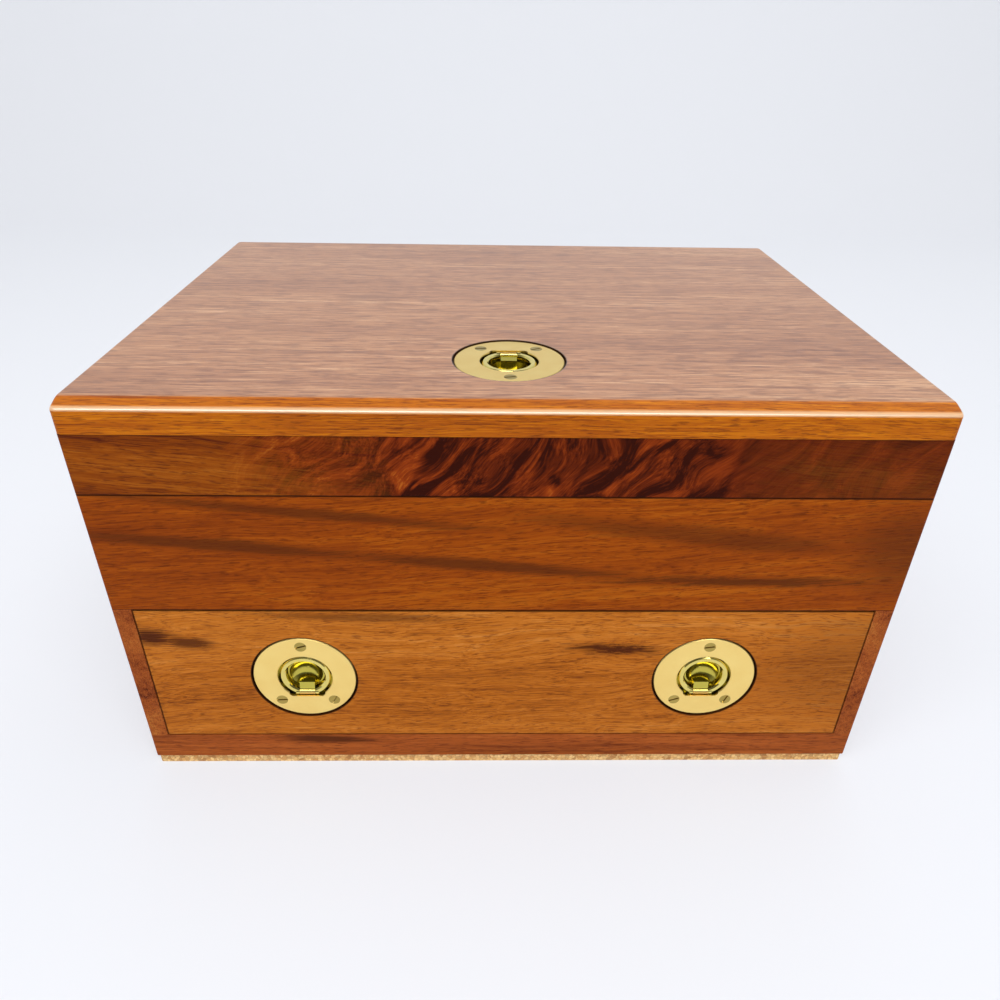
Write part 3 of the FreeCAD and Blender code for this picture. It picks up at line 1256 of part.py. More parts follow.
# Winding key outside the back
key = body("key")
HUB = ("key_stand_off", "key_stand_off + key_hub_length")
solid(key, "XZ", *HUB, disc("0", "0", "key_hub_radius"))
half_wing = "key_wing_width / 2"
wing_low, wing_high = "(key_stand_off + 5)", "(key_stand_off + 5 + key_wing_height)"
right_lobe = [("2.5", wing_low), (f"{half_wing} - 3", f"{wing_low} + 0.5"),
              (half_wing, f"{wing_low} + 3.5"), (half_wing, f"{wing_high} - 2.5"),
              (f"{half_wing} - 2", wing_high), (f"{half_wing} - 6", f"{wing_high} - 1"),
              ("2.5", f"{wing_high} - 5")]
left_lobe = [(f"-({x})", y) for x, y in reversed(right_lobe)]
solid(key, "XY", "-key_wing_thickness / 2", "key_wing_thickness / 2", right_lobe + left_lobe)
hollow(key, "XY", "-key_wing_thickness / 2", "key_wing_thickness / 2",
       *[disc(f"{sign} * (key_wing_width / 2 - 4.6)", f"{wing_low} + 5.5", "2") for sign in SIDES.values()])
hollow(key, "XZ", HUB[0], f"{HUB[1]} - 1.5", disc("0", "0", "arbor_radius"))
keep(place(key, "key_x", "half_depth", "key_z"), "winding_key")

# Stop plunger: a rod in the back panel's groove with a finger over the fan's arbor
plunger = body("plunger")
solid(plunger, "XY", "rim_z - plunger_length", "rim_z + seam_gap / 3", disc("0", "0", "plunger_radius"))
solid(plunger, "XZ", "worm_y - plunger_y - 1.2", "0", disc("0", "finger_z", "finger_radius"))
solid(plunger, "XY", "works_z + fan_arbor_top + finger_gap", "finger_z",
      disc("0", "worm_y - plunger_y", "finger_radius - 0.15"))
keep(place(plunger, "plunger_x", "plunger_y"), "stop_plunger")

# Every piece is checked before it is written
doc.recompute()
for item in doc.Objects:
    if "Invalid" in item.State or "Error" in item.State:
        raise RuntimeError(f"{item.Name} failed: {item.State}")
for node in nodes:
    if node.Shape.isNull() or not node.Shape.isValid() or not node.Shape.Solids:
        raise RuntimeError(f"{node.Label} has no sound shape")
os.makedirs("parts", exist_ok=True)
for node in nodes:
    node.Shape.exportStep(f"parts/{node.Label}.step")
print(f"{len(nodes)} pieces written")
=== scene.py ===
import math
import bpy
from mathutils import Matrix, Vector


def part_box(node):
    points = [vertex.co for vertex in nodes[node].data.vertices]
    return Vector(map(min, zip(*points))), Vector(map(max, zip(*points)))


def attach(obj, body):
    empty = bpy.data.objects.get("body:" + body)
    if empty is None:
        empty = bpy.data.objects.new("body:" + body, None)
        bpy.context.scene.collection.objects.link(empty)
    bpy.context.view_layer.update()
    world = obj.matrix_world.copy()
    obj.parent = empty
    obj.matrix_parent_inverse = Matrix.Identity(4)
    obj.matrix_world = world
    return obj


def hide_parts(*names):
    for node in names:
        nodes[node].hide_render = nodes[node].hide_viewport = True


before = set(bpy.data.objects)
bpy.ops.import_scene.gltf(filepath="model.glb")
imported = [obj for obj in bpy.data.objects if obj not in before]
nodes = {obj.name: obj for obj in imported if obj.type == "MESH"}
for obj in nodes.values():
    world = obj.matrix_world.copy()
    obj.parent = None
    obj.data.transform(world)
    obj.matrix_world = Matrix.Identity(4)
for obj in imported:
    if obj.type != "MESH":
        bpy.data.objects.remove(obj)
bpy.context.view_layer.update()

# The walnut musical jewelry box, shut, on a pale table in soft light.
# Metres, +X to the right, +Y to the back, +Z up, origin under the middle of the cork base.
mm = 0.001
scene = bpy.context.scene

# Camera
# A phone held over the front edge of the table, a little left of the middle, with a wide lens.
# Its place and turn were worked out from the box's own edges in the photograph.
camera_place = Vector((-10.1, -364.3, 291.2)) * mm
camera_yaw, camera_pitch, camera_roll = 0.02569, 0.54383, 0.01818
focal_pixels, image_pixels, sensor_mm = 767.3, 1000, 36

ahead = Vector((math.sin(camera_yaw) * math.cos(camera_pitch),
                math.cos(camera_yaw) * math.cos(camera_pitch), -math.sin(camera_pitch)))
right = Vector((math.cos(camera_yaw), -math.sin(camera_yaw), 0))
over = right.cross(ahead)
camera_right = right * math.cos(camera_roll) + over * math.sin(camera_roll)
camera_over = over * math.cos(camera_roll) - right * math.sin(camera_roll)
lens = bpy.data.cameras.new("camera")
lens.sensor_width = sensor_mm
lens.lens = sensor_mm * focal_pixels / image_pixels
lens.clip_start = 10 * mm
camera = bpy.data.objects.new("camera", lens)
scene.collection.objects.link(camera)
turn = Matrix((camera_right, camera_over, -ahead)).transposed()
camera.matrix_world = Matrix.Translation(camera_place) @ turn.to_4x4()
scene.camera = camera
scene.view_settings.view_transform = "Standard"


def add(tree, kind, inputs=None, stops=None, **settings):
    """Adds a node, with its settings, its colour stops, and values or links on its inputs."""
    made = tree.nodes.new(kind)
    for name, value in settings.items():
        setattr(made, name, value)
    for name, value in (inputs or {}).items():
        if isinstance(value, bpy.types.NodeSocket):
            tree.links.new(value, made.inputs[name])
        else:
            made.inputs[name].default_value = value
    if stops:
        elements = made.color_ramp.elements
        while len(elements) < len(stops):
            elements.new(0.5)
        for element, (position, colour) in zip(elements, stops):
            element.position = position
            element.color = colour
    return made


def linear(hex_colour):
    """An sRGB hex colour as the linear values that the shader works in."""
    parts = [int(hex_colour[i:i + 2], 16) / 255 for i in (1, 3, 5)]
    return [p / 12.92 if p <= 0.04045 else ((p + 0.055) / 1.055) ** 2.4 for p in parts] + [1.0]


def grey_stops(pairs):
    """Stops of a ramp that carries a weight, from pairs of position and weight."""
    return [(position, (weight, weight, weight, 1)) for position, weight in pairs]


def tone_stops(positions, tones):
    """Stops of a ramp from positions and sRGB hex tones."""
    return list(zip(positions, [linear(tone) for tone in tones]))


def new_material(name, **constants):
    """A material with its shader, the shader's tree, and the values that hold all over."""
    material = bpy.data.materials.new(name)
    material.use_nodes = True
    tree = material.node_tree
    tree.nodes.clear()
    shader = add(tree, "ShaderNodeBsdfPrincipled",
                 {key.replace("_", " "): value for key, value in constants.items()})
    add(tree, "ShaderNodeOutputMaterial", {"Surface": shader.outputs[0]})
    return material, tree, shader


def shader_and_colour(tree):
    """The material's shader, and the link that colours it so far."""
    shader = next(node for node in tree.nodes if node.type == "BSDF_PRINCIPLED")
    return shader, shader.inputs["Base Color"].links[0].from_socket


def finish_with(material, *names):
    """Gives CAD nodes their material."""
    for name in names:
        data = nodes[name].data
        data.materials.clear()
        data.materials.append(material)


# Table, backdrop and light
# A pale matt table top that sweeps up behind the box into a plain pale wall. It shows mostly by
# its own tone, so that it stays even, and the rest of it keeps the box's soft shadow.
TABLE_COLOUR, OWN_TONE = "#e9ebf0", 0.56
TABLE_FRONT, TABLE_BACK, TABLE_SIDE = -5.0, 1.6, 5.0
WALL_HEIGHT, SWEEP_RADIUS, SWEEP_FACETS = 2.6, 0.6, 16
bpy.ops.object.select_all(action="DESELECT")
bpy.ops.mesh.primitive_plane_add(size=1, location=(0, (TABLE_FRONT + TABLE_BACK) / 2, 0))
table_top = bpy.context.object
table_top.name = "table_top"
table_top.scale = (2 * TABLE_SIDE, TABLE_BACK - TABLE_FRONT, 1)
bpy.ops.object.transform_apply(location=True, rotation=True, scale=True)
for edge in table_top.data.edges:
    ends = [table_top.data.vertices[index].co.y for index in edge.vertices]
    edge.select = min(ends) > TABLE_BACK - mm
for vertex in table_top.data.vertices:
    vertex.select = vertex.co.y > TABLE_BACK - mm
for face in table_top.data.polygons:
    face.select = False
bpy.ops.object.mode_set(mode="EDIT")
bpy.ops.mesh.select_mode(type="EDGE")
bpy.ops.mesh.extrude_region_move(TRANSFORM_OT_translate={"value": (0, 0, WALL_HEIGHT)})
bpy.ops.object.mode_set(mode="OBJECT")
for edge in table_top.data.edges:
    ends = [table_top.data.vertices[index].co for index in edge.vertices]
    edge.select = all(end.y > TABLE_BACK - mm and end.z < mm for end in ends)
bpy.ops.object.mode_set(mode="EDIT")
bpy.ops.mesh.bevel(offset=SWEEP_RADIUS, segments=SWEEP_FACETS, profile=0.5, affect="EDGES")
bpy.ops.object.mode_set(mode="OBJECT")
bpy.ops.object.shade_smooth()
material, tree, shader = new_material("matt_white_table", Roughness=0.8)
shader.inputs["Base Color"].default_value = linear(TABLE_COLOUR)
seen = add(tree, "ShaderNodeLightPath")
shown = add(tree, "ShaderNodeMath",
            {0: seen.outputs["Is Camera Ray"], 1: seen.outputs["Is Glossy Ray"]},
            operation="MAXIMUM")
share = add(tree, "ShaderNodeMath", {0: shown.outputs[0], 1: OWN_TONE}, operation="MULTIPLY")
glow = add(tree, "ShaderNodeEmission", {"Color": linear(TABLE_COLOUR), "Strength": 1.0})
both = add(tree, "ShaderNodeMixShader",
           {0: share.outputs[0], 1: shader.outputs[0], 2: glow.outputs[0]})
add(tree, "ShaderNodeOutputMaterial", {"Surface": both.outputs[0]}).is_active_output = True
table_top.data.materials.append(material)

# The room is pale everywhere for the camera. What the wood and brass reflect of it is bright
# behind the box, dimmer overhead, and dimmer still in front, where the phone's owner stands.
ROOM_COLOUR, ROOM_LIGHT, ROOM_FRONT, ROOM_CEILING = "#eceef3", 0.62, 0.14, 0.18
world = bpy.data.worlds.new("pale_room")
scene.world = world
world.use_nodes = True
tree = world.node_tree
tree.nodes.clear()
seen = add(tree, "ShaderNodeLightPath")
way = add(tree, "ShaderNodeSeparateXYZ", {0: add(tree, "ShaderNodeTexCoord").outputs["Generated"]})
behind = add(tree, "ShaderNodeMapRange",
             {"Value": way.outputs["Y"], "From Min": -0.7, "From Max": 0.4, "To Min": ROOM_FRONT})
overhead = add(tree, "ShaderNodeMapRange",
               {"Value": way.outputs["Z"], "From Min": 0.62, "From Max": 0.86,
                "To Min": 1.0, "To Max": ROOM_CEILING})
mirrored = add(tree, "ShaderNodeMath", {0: behind.outputs[0], 1: overhead.outputs[0]},
               operation="MULTIPLY")
lit = add(tree, "ShaderNodeMix",
          {0: seen.outputs["Is Glossy Ray"], 2: ROOM_LIGHT, 3: mirrored.outputs[0]})
strength = add(tree, "ShaderNodeMath", {0: lit.outputs[0], 1: seen.outputs["Is Camera Ray"]},
               operation="MAXIMUM")
room = add(tree, "ShaderNodeBackground",
           {"Color": linear(ROOM_COLOUR), "Strength": strength.outputs[0]})
add(tree, "ShaderNodeOutputWorld", {"Surface": room.outputs[0]})

# A long window above the front edge draws the bright line along the lid's rounded edge. The
# ceiling light only softens shadows and isn't mirrored. Each has a place, width, depth and watts.
LIGHTS = {"window_light": ((-0.15, -0.85, 1.45), 2.2, 0.62, 24),
          "ceiling_light": ((0.5, 0.3, 1.8), 1.6, 1.6, 10)}
LIT_SPOT = Vector((0, 0, 0.08))
for name, (place, wide, deep, watts) in LIGHTS.items():
    lamp = bpy.data.lights.new(name, "AREA")
    lamp.shape, lamp.size, lamp.size_y, lamp.energy = "RECTANGLE", wide, deep, watts
    stand = bpy.data.objects.new(name, lamp)
    scene.collection.objects.link(stand)
    stand.location = place
    stand.rotation_euler = (LIT_SPOT - Vector(place)).to_track_quat("-Z", "Y").to_euler()
    stand.visible_glossy = name == "window_light"

# Walnut boards of the case
# Solid walnut with a rubbed oil finish, mitred and glued at the corners. Growth lines a few
# millimetres apart carry fine fibres and short open pores, and some boards have dark streaks.

# Lengths and widths, here and below, are in millimetres. Shares and stops are plain numbers.
PORE_LONG, PORE_WIDE = 6, 0.42
FIBRE_LONG, FIBRE_WIDE = 30, 0.6
LINE_LONG, LINE_WIDE = 170, 2.6
TONE_LONG, TONE_WIDE = 330, 30
SWING = (10, 24, 24)
LINE_SHARE, FIBRE_SHARE, TONE_SPREAD = 0.6, 0.8, 0.3
PORE_FROM, PORE_TO, PORE_DARK = 0.54, 0.63, 0.6
WOOD_STOPS = (0.0, 0.36, 0.66, 1.0)
MARK_THINNEST = 12


def stretched(tree, vector, long_mm, wide_mm, detail=3, roughness=0.55, distortion=0.0):
    """Noise drawn out along the grain, at the length and width of the real marks."""
    size = (1 / (long_mm * mm), 1 / (wide_mm * mm), 1 / (wide_mm * mm))
    spot = add(tree, "ShaderNodeMapping", {"Vector": vector, "Scale": size})
    noise = add(tree, "ShaderNodeTexNoise",
                {"Vector": spot.outputs[0], "Scale": 1, "Detail": detail,
                 "Roughness": roughness, "Distortion": distortion})
    return noise.outputs["Fac"]


def grain_place(tree, grain, shift, lean, sway):
    """Points of the board with the grain along X, leaned and swaying as the tree grew."""
    place = add(tree, "ShaderNodeTexCoord").outputs["Object"]
    turn = (0, lean, math.pi / 2 if grain == "Y" else 0)
    board = add(tree, "ShaderNodeMapping", {"Vector": place, "Location": shift, "Rotation": turn})
    swing = add(tree, "ShaderNodeMapping", {"Vector": board.outputs[0], "Scale": SWING})
    wander = add(tree, "ShaderNodeTexNoise",
                 {"Vector": swing.outputs[0], "Scale": 1, "Detail": 3})
    off = add(tree, "ShaderNodeVectorMath", {0: wander.outputs["Color"], 1: (0.5, 0.5, 0.5)},
              operation="SUBTRACT")
    far = add(tree, "ShaderNodeVectorMath", {0: off.outputs[0], "Scale": sway * mm * 2},
              operation="SCALE")
    bent = add(tree, "ShaderNodeVectorMath", {0: board.outputs[0], 1: far.outputs[0]},
               operation="ADD")
    return place, bent.outputs[0]


def dark_marks(tree, place, lines, fibres, marks):
    """Streaks and knots, frayed by the fibres and growth lines that they lie in.

    Each mark has its middle and half sizes in millimetres, its lean and its strength.
    """
    total = None
    split = add(tree, "ShaderNodeMath", {0: fibres, 1: 1.5, 2: -1.2}, operation="MULTIPLY_ADD")
    split = add(tree, "ShaderNodeMath", {0: lines, 1: 0.9, 2: split.outputs[0]},
                operation="MULTIPLY_ADD")
    for x, y, z, long_mm, wide_mm, lean, depth in marks:
        size = (long_mm * mm, max(wide_mm, MARK_THINNEST) * mm, wide_mm * mm)
        spot = add(tree, "ShaderNodeMapping",
                   {"Vector": place, "Location": (x * mm, y * mm, z * mm),
                    "Rotation": (0, lean, 0), "Scale": size}, vector_type="TEXTURE")
        near = add(tree, "ShaderNodeTexGradient", {"Vector": spot.outputs[0]},
                   gradient_type="SPHERICAL")
        inside = add(tree, "ShaderNodeMapRange", {"Value": near.outputs["Fac"], "From Max": 0.25})
        ragged = add(tree, "ShaderNodeMath", {0: near.outputs["Fac"], 1: split.outputs[0]},
                     operation="ADD")
        mark = add(tree, "ShaderNodeMapRange",
                   {"Value": ragged.outputs[0], "From Min": 0.3, "From Max": 0.7, "To Max": depth})
        mark = add(tree, "ShaderNodeMath", {0: mark.outputs[0], 1: inside.outputs[0]},
                   operation="MULTIPLY")
        if total is None:
            total = mark.outputs[0]
        else:
            total = add(tree, "ShaderNodeMath", {0: total, 1: mark.outputs[0]},
                        operation="MAXIMUM").outputs[0]
    return total


def walnut(name, tones, grain="X", shift=(0, 0, 0), lean=0.0, sway=5.0, contrast=1.0, drift=1.0,
           marks=(), streak="#4c2208", coat=(0.03, 1.5, 0.2)):
    """One board's wood: four tones from dark to light, grain along an axis, its own figure.

    The coat is the finish: its weight, index of refraction and roughness.
    """
    weight, index, roughness = coat
    material, tree, shader = new_material(name, Coat_Weight=weight, Coat_IOR=index,
                                          Coat_Roughness=roughness, Specular_IOR_Level=0.03)
    place, bent = grain_place(tree, grain, shift, lean, sway)
    tone = stretched(tree, bent, TONE_LONG, TONE_WIDE, 2)
    lines = stretched(tree, bent, LINE_LONG, LINE_WIDE, 5, 0.62)
    fibres = stretched(tree, bent, FIBRE_LONG, FIBRE_WIDE, 4, 0.7)
    pores = stretched(tree, bent, PORE_LONG, PORE_WIDE, 2)
    level = add(tree, "ShaderNodeMath", {0: tone, 1: drift}, operation="MULTIPLY")
    level = add(tree, "ShaderNodeMath",
                {0: lines, 1: LINE_SHARE * contrast, 2: level.outputs[0]}, operation="MULTIPLY_ADD")
    level = add(tree, "ShaderNodeMath", {0: fibres, 1: FIBRE_SHARE, 2: level.outputs[0]},
                operation="MULTIPLY_ADD")
    middle = (drift + LINE_SHARE * contrast + FIBRE_SHARE) / 2
    spread = add(tree, "ShaderNodeMapRange",
                 {"Value": level.outputs[0], "From Min": middle - TONE_SPREAD,
                  "From Max": middle + TONE_SPREAD})
    wood = add(tree, "ShaderNodeValToRGB", {"Fac": spread.outputs[0]},
               stops=tone_stops(WOOD_STOPS, tones)).outputs[0]
    if marks:
        dark = dark_marks(tree, place, lines, fibres, marks)
        wood = add(tree, "ShaderNodeMix", {0: dark, 6: wood, 7: linear(streak)},
                   data_type="RGBA").outputs[2]
    dash = add(tree, "ShaderNodeMapRange",
               {"Value": pores, "From Min": PORE_FROM, "From Max": PORE_TO, "To Max": PORE_DARK})
    pored = add(tree, "ShaderNodeMix", {0: dash.outputs[0], 6: wood, 7: linear(tones[0])},
                data_type="RGBA")
    relief = add(tree, "ShaderNodeMath", {0: 1.0, 1: dash.outputs[0]}, operation="SUBTRACT")
    bump = add(tree, "ShaderNodeBump",
               {"Height": relief.outputs[0], "Distance": 0.1 * mm, "Strength": 0.5})
    rough = add(tree, "ShaderNodeMapRange", {"Value": lines, "To Min": 0.34, "To Max": 0.48})
    tree.links.new(pored.outputs[2], shader.inputs["Base Color"])
    tree.links.new(rough.outputs[0], shader.inputs["Roughness"])
    tree.links.new(bump.outputs[0], shader.inputs["Normal"])
    return material


front_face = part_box("upper_front_board")[0].y / mm
finish_with(walnut("oiled_walnut_upper_front", ("#542004", "#7e3606", "#914306", "#a6580e"),
                   shift=(2.1, 0.6, 0.9), lean=0.075, sway=6, drift=0.7,
                   marks=[(-110, front_face, 122.4, 105, 5, 0.088, 0.75),
                          (-5, front_face, 112.9, 110, 5, 0.085, 0.78),
                          (95, front_face, 105.8, 95, 5, 0.01, 0.85),
                          (-75, front_face, 137, 120, 4, 0.1, 0.7),
                          (75, front_face, 127.5, 110, 8, 0.12, 0.6),
                          (158, front_face, 120, 44, 34, 0, 0.6)]),
            "upper_front_board")
finish_with(walnut("oiled_walnut_base_rail", ("#572008", "#8a4418", "#9e501e", "#b0642a"),
                   shift=(4.1, 0.9, 0.3), marks=[(-82, front_face, 15.6, 40, 4.2, 0.03, 0.9)]),
            "bottom_rail")
finish_with(walnut("oiled_walnut_sides", ("#4a1c08", "#8a4218", "#9d521f", "#b06a2c"), "Y",
                   (5.3, 0.2, 0.7)),
            "side_panel_left", "side_panel_right", "lid_rail_left", "lid_rail_right")
PLAIN_WALNUT = ("#4c2009", "#7f3d12", "#94501a", "#a86424")
finish_with(walnut("oiled_walnut_back", PLAIN_WALNUT, shift=(6.6, 0.4, 0.2)),
            "back_panel", "lid_rail_back")

# Cork base
# A sheet of granular cork glued under the case: pressed granules one to three millimetres across,
# from pale tan to brown, with dark seams between them.
GRANULE = 1.6
CORK_STOPS = (0.0, 0.3, 0.75, 1.0)
CORK_TONES = ("#c48c4e", "#dcaa66", "#efc988", "#ab763c")
material, tree, shader = new_material("granular_cork", Roughness=0.85)
place = add(tree, "ShaderNodeTexCoord").outputs["Object"]
grain = add(tree, "ShaderNodeTexVoronoi", {"Vector": place, "Scale": 1 / (GRANULE * mm)})
seam = add(tree, "ShaderNodeTexVoronoi", {"Vector": place, "Scale": 1 / (GRANULE * mm)},
           feature="DISTANCE_TO_EDGE")
tone = add(tree, "ShaderNodeSeparateColor", {"Color": grain.outputs["Color"]})
cork = add(tree, "ShaderNodeValToRGB", {"Fac": tone.outputs[0]},
           stops=tone_stops(CORK_STOPS, CORK_TONES))
gap = add(tree, "ShaderNodeMapRange",
          {"Value": seam.outputs["Distance"], "From Max": 0.12, "To Min": 0.55, "To Max": 1.0})
edge = add(tree, "ShaderNodeMix",
           {0: gap.outputs[0], 6: linear("#86582c"), 7: cork.outputs[0]}, data_type="RGBA")
bump = add(tree, "ShaderNodeBump",
           {"Height": gap.outputs[0], "Distance": 0.3 * mm, "Strength": 0.6})
tree.links.new(edge.outputs[2], shader.inputs["Base Color"])
tree.links.new(bump.outputs[0], shader.inputs["Normal"])
finish_with(material, "cork_base")

# Plywood inside the case and the tray
# Birch plywood sheets let into grooves: a pale rotary-cut face with lazy growth rings, and thin
# layers, light and dark by turns, that show on the edges.
LAYER = 1.0
RING_LONG, RING_WIDE = 120, 9
BIRCH_STOPS, BIRCH_TONES = (0.45, 0.7, 0.9), ("#b88d5c", "#d5b183", "#e2c69c")
material, tree, shader = new_material("birch_plywood", Roughness=0.55, Specular_IOR_Level=0.3)
place, bent = grain_place(tree, "X", (8.2, 0.1, 0.4), 0, 14)
face = stretched(tree, bent, RING_LONG, RING_WIDE, 4, 0.6)
fibres = stretched(tree, bent, 18, 0.5, 3)
level = add(tree, "ShaderNodeMath", {0: fibres, 1: 0.5, 2: face}, operation="MULTIPLY_ADD")
birch = add(tree, "ShaderNodeValToRGB", {"Fac": level.outputs[0]},
            stops=tone_stops(BIRCH_STOPS, BIRCH_TONES))
height = add(tree, "ShaderNodeSeparateXYZ", {0: place})
layer = add(tree, "ShaderNodeMath", {0: height.outputs["Z"], 1: 2 * LAYER * mm},
            operation="PINGPONG")
turned = add(tree, "ShaderNodeMapRange",
             {"Value": layer.outputs[0], "From Min": 0.9 * LAYER * mm,
              "From Max": 1.1 * LAYER * mm, "To Max": 0.35})
edge = add(tree, "ShaderNodeMix",
           {0: turned.outputs[0], 6: birch.outputs[0], 7: linear("#8a5f38")}, data_type="RGBA")
bump = add(tree, "ShaderNodeBump",
           {"Height": level.outputs[0], "Distance": 0.05 * mm, "Strength": 0.4})
tree.links.new(edge.outputs[2], shader.inputs["Base Color"])
tree.links.new(bump.outputs[0], shader.inputs["Normal"])
finish_with(material, "bottom_panel", "divider_shelf", "drawer_bottom", "tray_floor")

# Beech drawer box, runners and stops
# Planed beech, waxed where it slides: even and pinkish, with the short dark flecks of its rays
# along the grain and faint growth lines.
GROWTH_LONG, GROWTH_WIDE = 150, 5
FLECK_LONG, FLECK_WIDE = 3.2, 0.5
BEECH_STOPS, BEECH_TONES = (0.3, 0.5, 0.7), ("#c08e62", "#d2a276", "#dcb088")
material, tree, shader = new_material("waxed_beech", Specular_IOR_Level=0.35)
place, bent = grain_place(tree, "Y", (9.4, 0.7, 0.2), 0, 3)
lines = stretched(tree, bent, GROWTH_LONG, GROWTH_WIDE, 4, 0.6)
flecks = stretched(tree, bent, FLECK_LONG, FLECK_WIDE, 2)
beech = add(tree, "ShaderNodeValToRGB", {"Fac": lines}, stops=tone_stops(BEECH_STOPS, BEECH_TONES))
dash = add(tree, "ShaderNodeMapRange",
           {"Value": flecks, "From Min": 0.6, "From Max": 0.68, "To Max": 0.5})
fleck = add(tree, "ShaderNodeMix",
            {0: dash.outputs[0], 6: beech.outputs[0], 7: linear("#9c6a44")}, data_type="RGBA")
rough = add(tree, "ShaderNodeMapRange", {"Value": lines, "To Min": 0.4, "To Max": 0.55})
tree.links.new(fleck.outputs[2], shader.inputs["Base Color"])
tree.links.new(rough.outputs[0], shader.inputs["Roughness"])
finish_with(material, "drawer_side_left", "drawer_side_right", "drawer_back", "drawer_runners",
            "drawer_stops")

# Lid
# A thick board with a softly rounded bevel along its front, over a rail of crotch walnut whose
# feathered figure runs from a plain left end through near-black flames to a plain right end.
# The board's flat is coloured paler and pinker than its edges, a painted sheen over its real waxy
# coat.
# Its worked edges are polished and deeper in colour, with a painted highlight band along the
# rounded edge.
# The top's tones are paler and pinker than the edge's, a painted sheen of the bright room. The edge
# tones are the wood's own amber.
TOP_STOPS, SHEENED_TOP_TONES = (0.14, 0.38, 0.62, 0.86), ("#5a2e14", "#99663f", "#b07e55", "#d6ad86")
# The last colour here is the cream of the painted highlight along the rounded edge.
EDGE_TONES, EDGE_HIGHLIGHT_TONE = ("#5e2400", "#9c4c00", "#b86600", "#d88a14"), "#f4c994"
OPEN_LONG, OPEN_WIDE = 9, 1.0
OPEN_FROM, OPEN_TO, OPEN_DARK = 0.49, 0.61, 0.6
# How far below the top the painted sheen fades out, and how much of it there is.
SHEEN_PAINT_DEPTH, SHEEN_PAINT_FADE, SHEEN_PAINT_SHARE = 0.05, 0.25, 0.85

# Weights of the coat's shine and of the paler band painted along the rounded edge as a painted
# highlight, from the top down to EDGE_DEPTH.
EDGE_DEPTH = 6
WAX = ((0, 0.66), (0.02, 0.66), (0.035, 0.2), (0.3, 0.2), (0.36, 1.0), (0.46, 1.0), (0.54, 0.04))
EDGE_HIGHLIGHT_WEIGHTS = ((0, 0), (0.27, 0), (0.34, 0.6), (0.46, 0.6), (0.56, 0))
top_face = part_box("lid_board")[1].z / mm
lid_board = walnut("oiled_walnut_lid_board", EDGE_TONES, shift=(0.3, 0.1, 0.2), sway=3,
                   contrast=0.8, drift=0.3, coat=(0.6, 2.4, 0.3))
tree = lid_board.node_tree
shader, deep = shader_and_colour(tree)
# The painted sheen on the flat follows the same growth lines and fibres as the amber wood under it.
amber = next(node for node in tree.nodes if node.type == "VALTORGB")
painted_sheen = add(tree, "ShaderNodeValToRGB", {"Fac": amber.inputs["Fac"].links[0].from_socket},
            stops=tone_stops(TOP_STOPS, SHEENED_TOP_TONES))
place = add(tree, "ShaderNodeTexCoord").outputs["Object"]
height = add(tree, "ShaderNodeSeparateXYZ", {0: place}).outputs["Z"]
sunk = add(tree, "ShaderNodeMath", {0: top_face * mm, 1: height}, operation="SUBTRACT").outputs[0]
flat = add(tree, "ShaderNodeMapRange",
           {"Value": sunk, "From Min": SHEEN_PAINT_FADE * mm, "From Max": SHEEN_PAINT_DEPTH * mm,
            "To Max": SHEEN_PAINT_SHARE})
open_pores = stretched(tree, place, OPEN_LONG, OPEN_WIDE, 3)
dash = add(tree, "ShaderNodeMapRange",
           {"Value": open_pores, "From Min": OPEN_FROM, "From Max": OPEN_TO, "To Max": OPEN_DARK})
smoky = dark_marks(tree, place, open_pores, open_pores,
                   [(-68, 6, top_face, 30, 11, 0, 0.45), (83, 22, top_face, 16, 8, 0, 0.4)])
dashed = add(tree, "ShaderNodeMath", {0: dash.outputs[0], 1: smoky}, operation="MAXIMUM")
dashed = add(tree, "ShaderNodeMix",
             {0: dashed.outputs[0], 6: painted_sheen.outputs[0], 7: linear(SHEENED_TOP_TONES[0])},
             data_type="RGBA")
depth = add(tree, "ShaderNodeMapRange", {"Value": sunk, "From Max": EDGE_DEPTH * mm})
# A paler band along the rounded edge, a painted highlight that widens the window's bright line.
edge_highlight = add(tree, "ShaderNodeValToRGB", {"Fac": depth.outputs[0]}, stops=grey_stops(EDGE_HIGHLIGHT_WEIGHTS))
paler = add(tree, "ShaderNodeMix", {0: edge_highlight.outputs[0], 6: deep, 7: linear(EDGE_HIGHLIGHT_TONE)},
            data_type="RGBA")
both = add(tree, "ShaderNodeMix", {0: flat.outputs[0], 6: paler.outputs[2], 7: dashed.outputs[2]},
           data_type="RGBA")
wax = add(tree, "ShaderNodeValToRGB", {"Fac": depth.outputs[0]}, stops=grey_stops(WAX))
tree.links.new(wax.outputs[0], shader.inputs["Coat Weight"])
tree.links.new(both.outputs[2], shader.inputs["Base Color"])
finish_with(lid_board, "lid_board")

# The crotch rail: feathers swept round a slow curl, darkest in the middle, each step in
# millimetres along X.
FEATHER_LONG, FEATHER_WIDE = 32, 7.5
FEATHER_LEAN = 0.9
HAIR_LONG, HAIR_WIDE, HAIR_SHARE = 16, 0.7, 0.38
CURL_SIZE, CURL_REACH, CURL_WAVER = 38, 34, 60
GLOOM_FROM, GLOOM_TO, GLOOM_START, GLOOM_END = -95, -10, 0.04, -0.085
BEGIN_FROM, BEGIN_TO = -75, -20
CALM_FROM, CALM_TO, CALM_SHARE, CALM_LEVEL = 80, 125, 0.62, 0.645
FADE_FROM, FADE_TO, FADE_SHARE = 110, 150, 0.8
FLAME_STOPS = (0.54, 0.66, 0.8, 0.96)
FLAME_TONES = ("#300a01", "#5c1e04", "#86340a", "#b3641c")
PLAIN_TONES = ("#48190a", "#7a3806", "#8d480b", "#a25e18")
crotch = walnut("oiled_crotch_walnut", PLAIN_TONES, shift=(1.7, 0.3, 0.5), lean=-0.1)
tree = crotch.node_tree
shader, plain = shader_and_colour(tree)
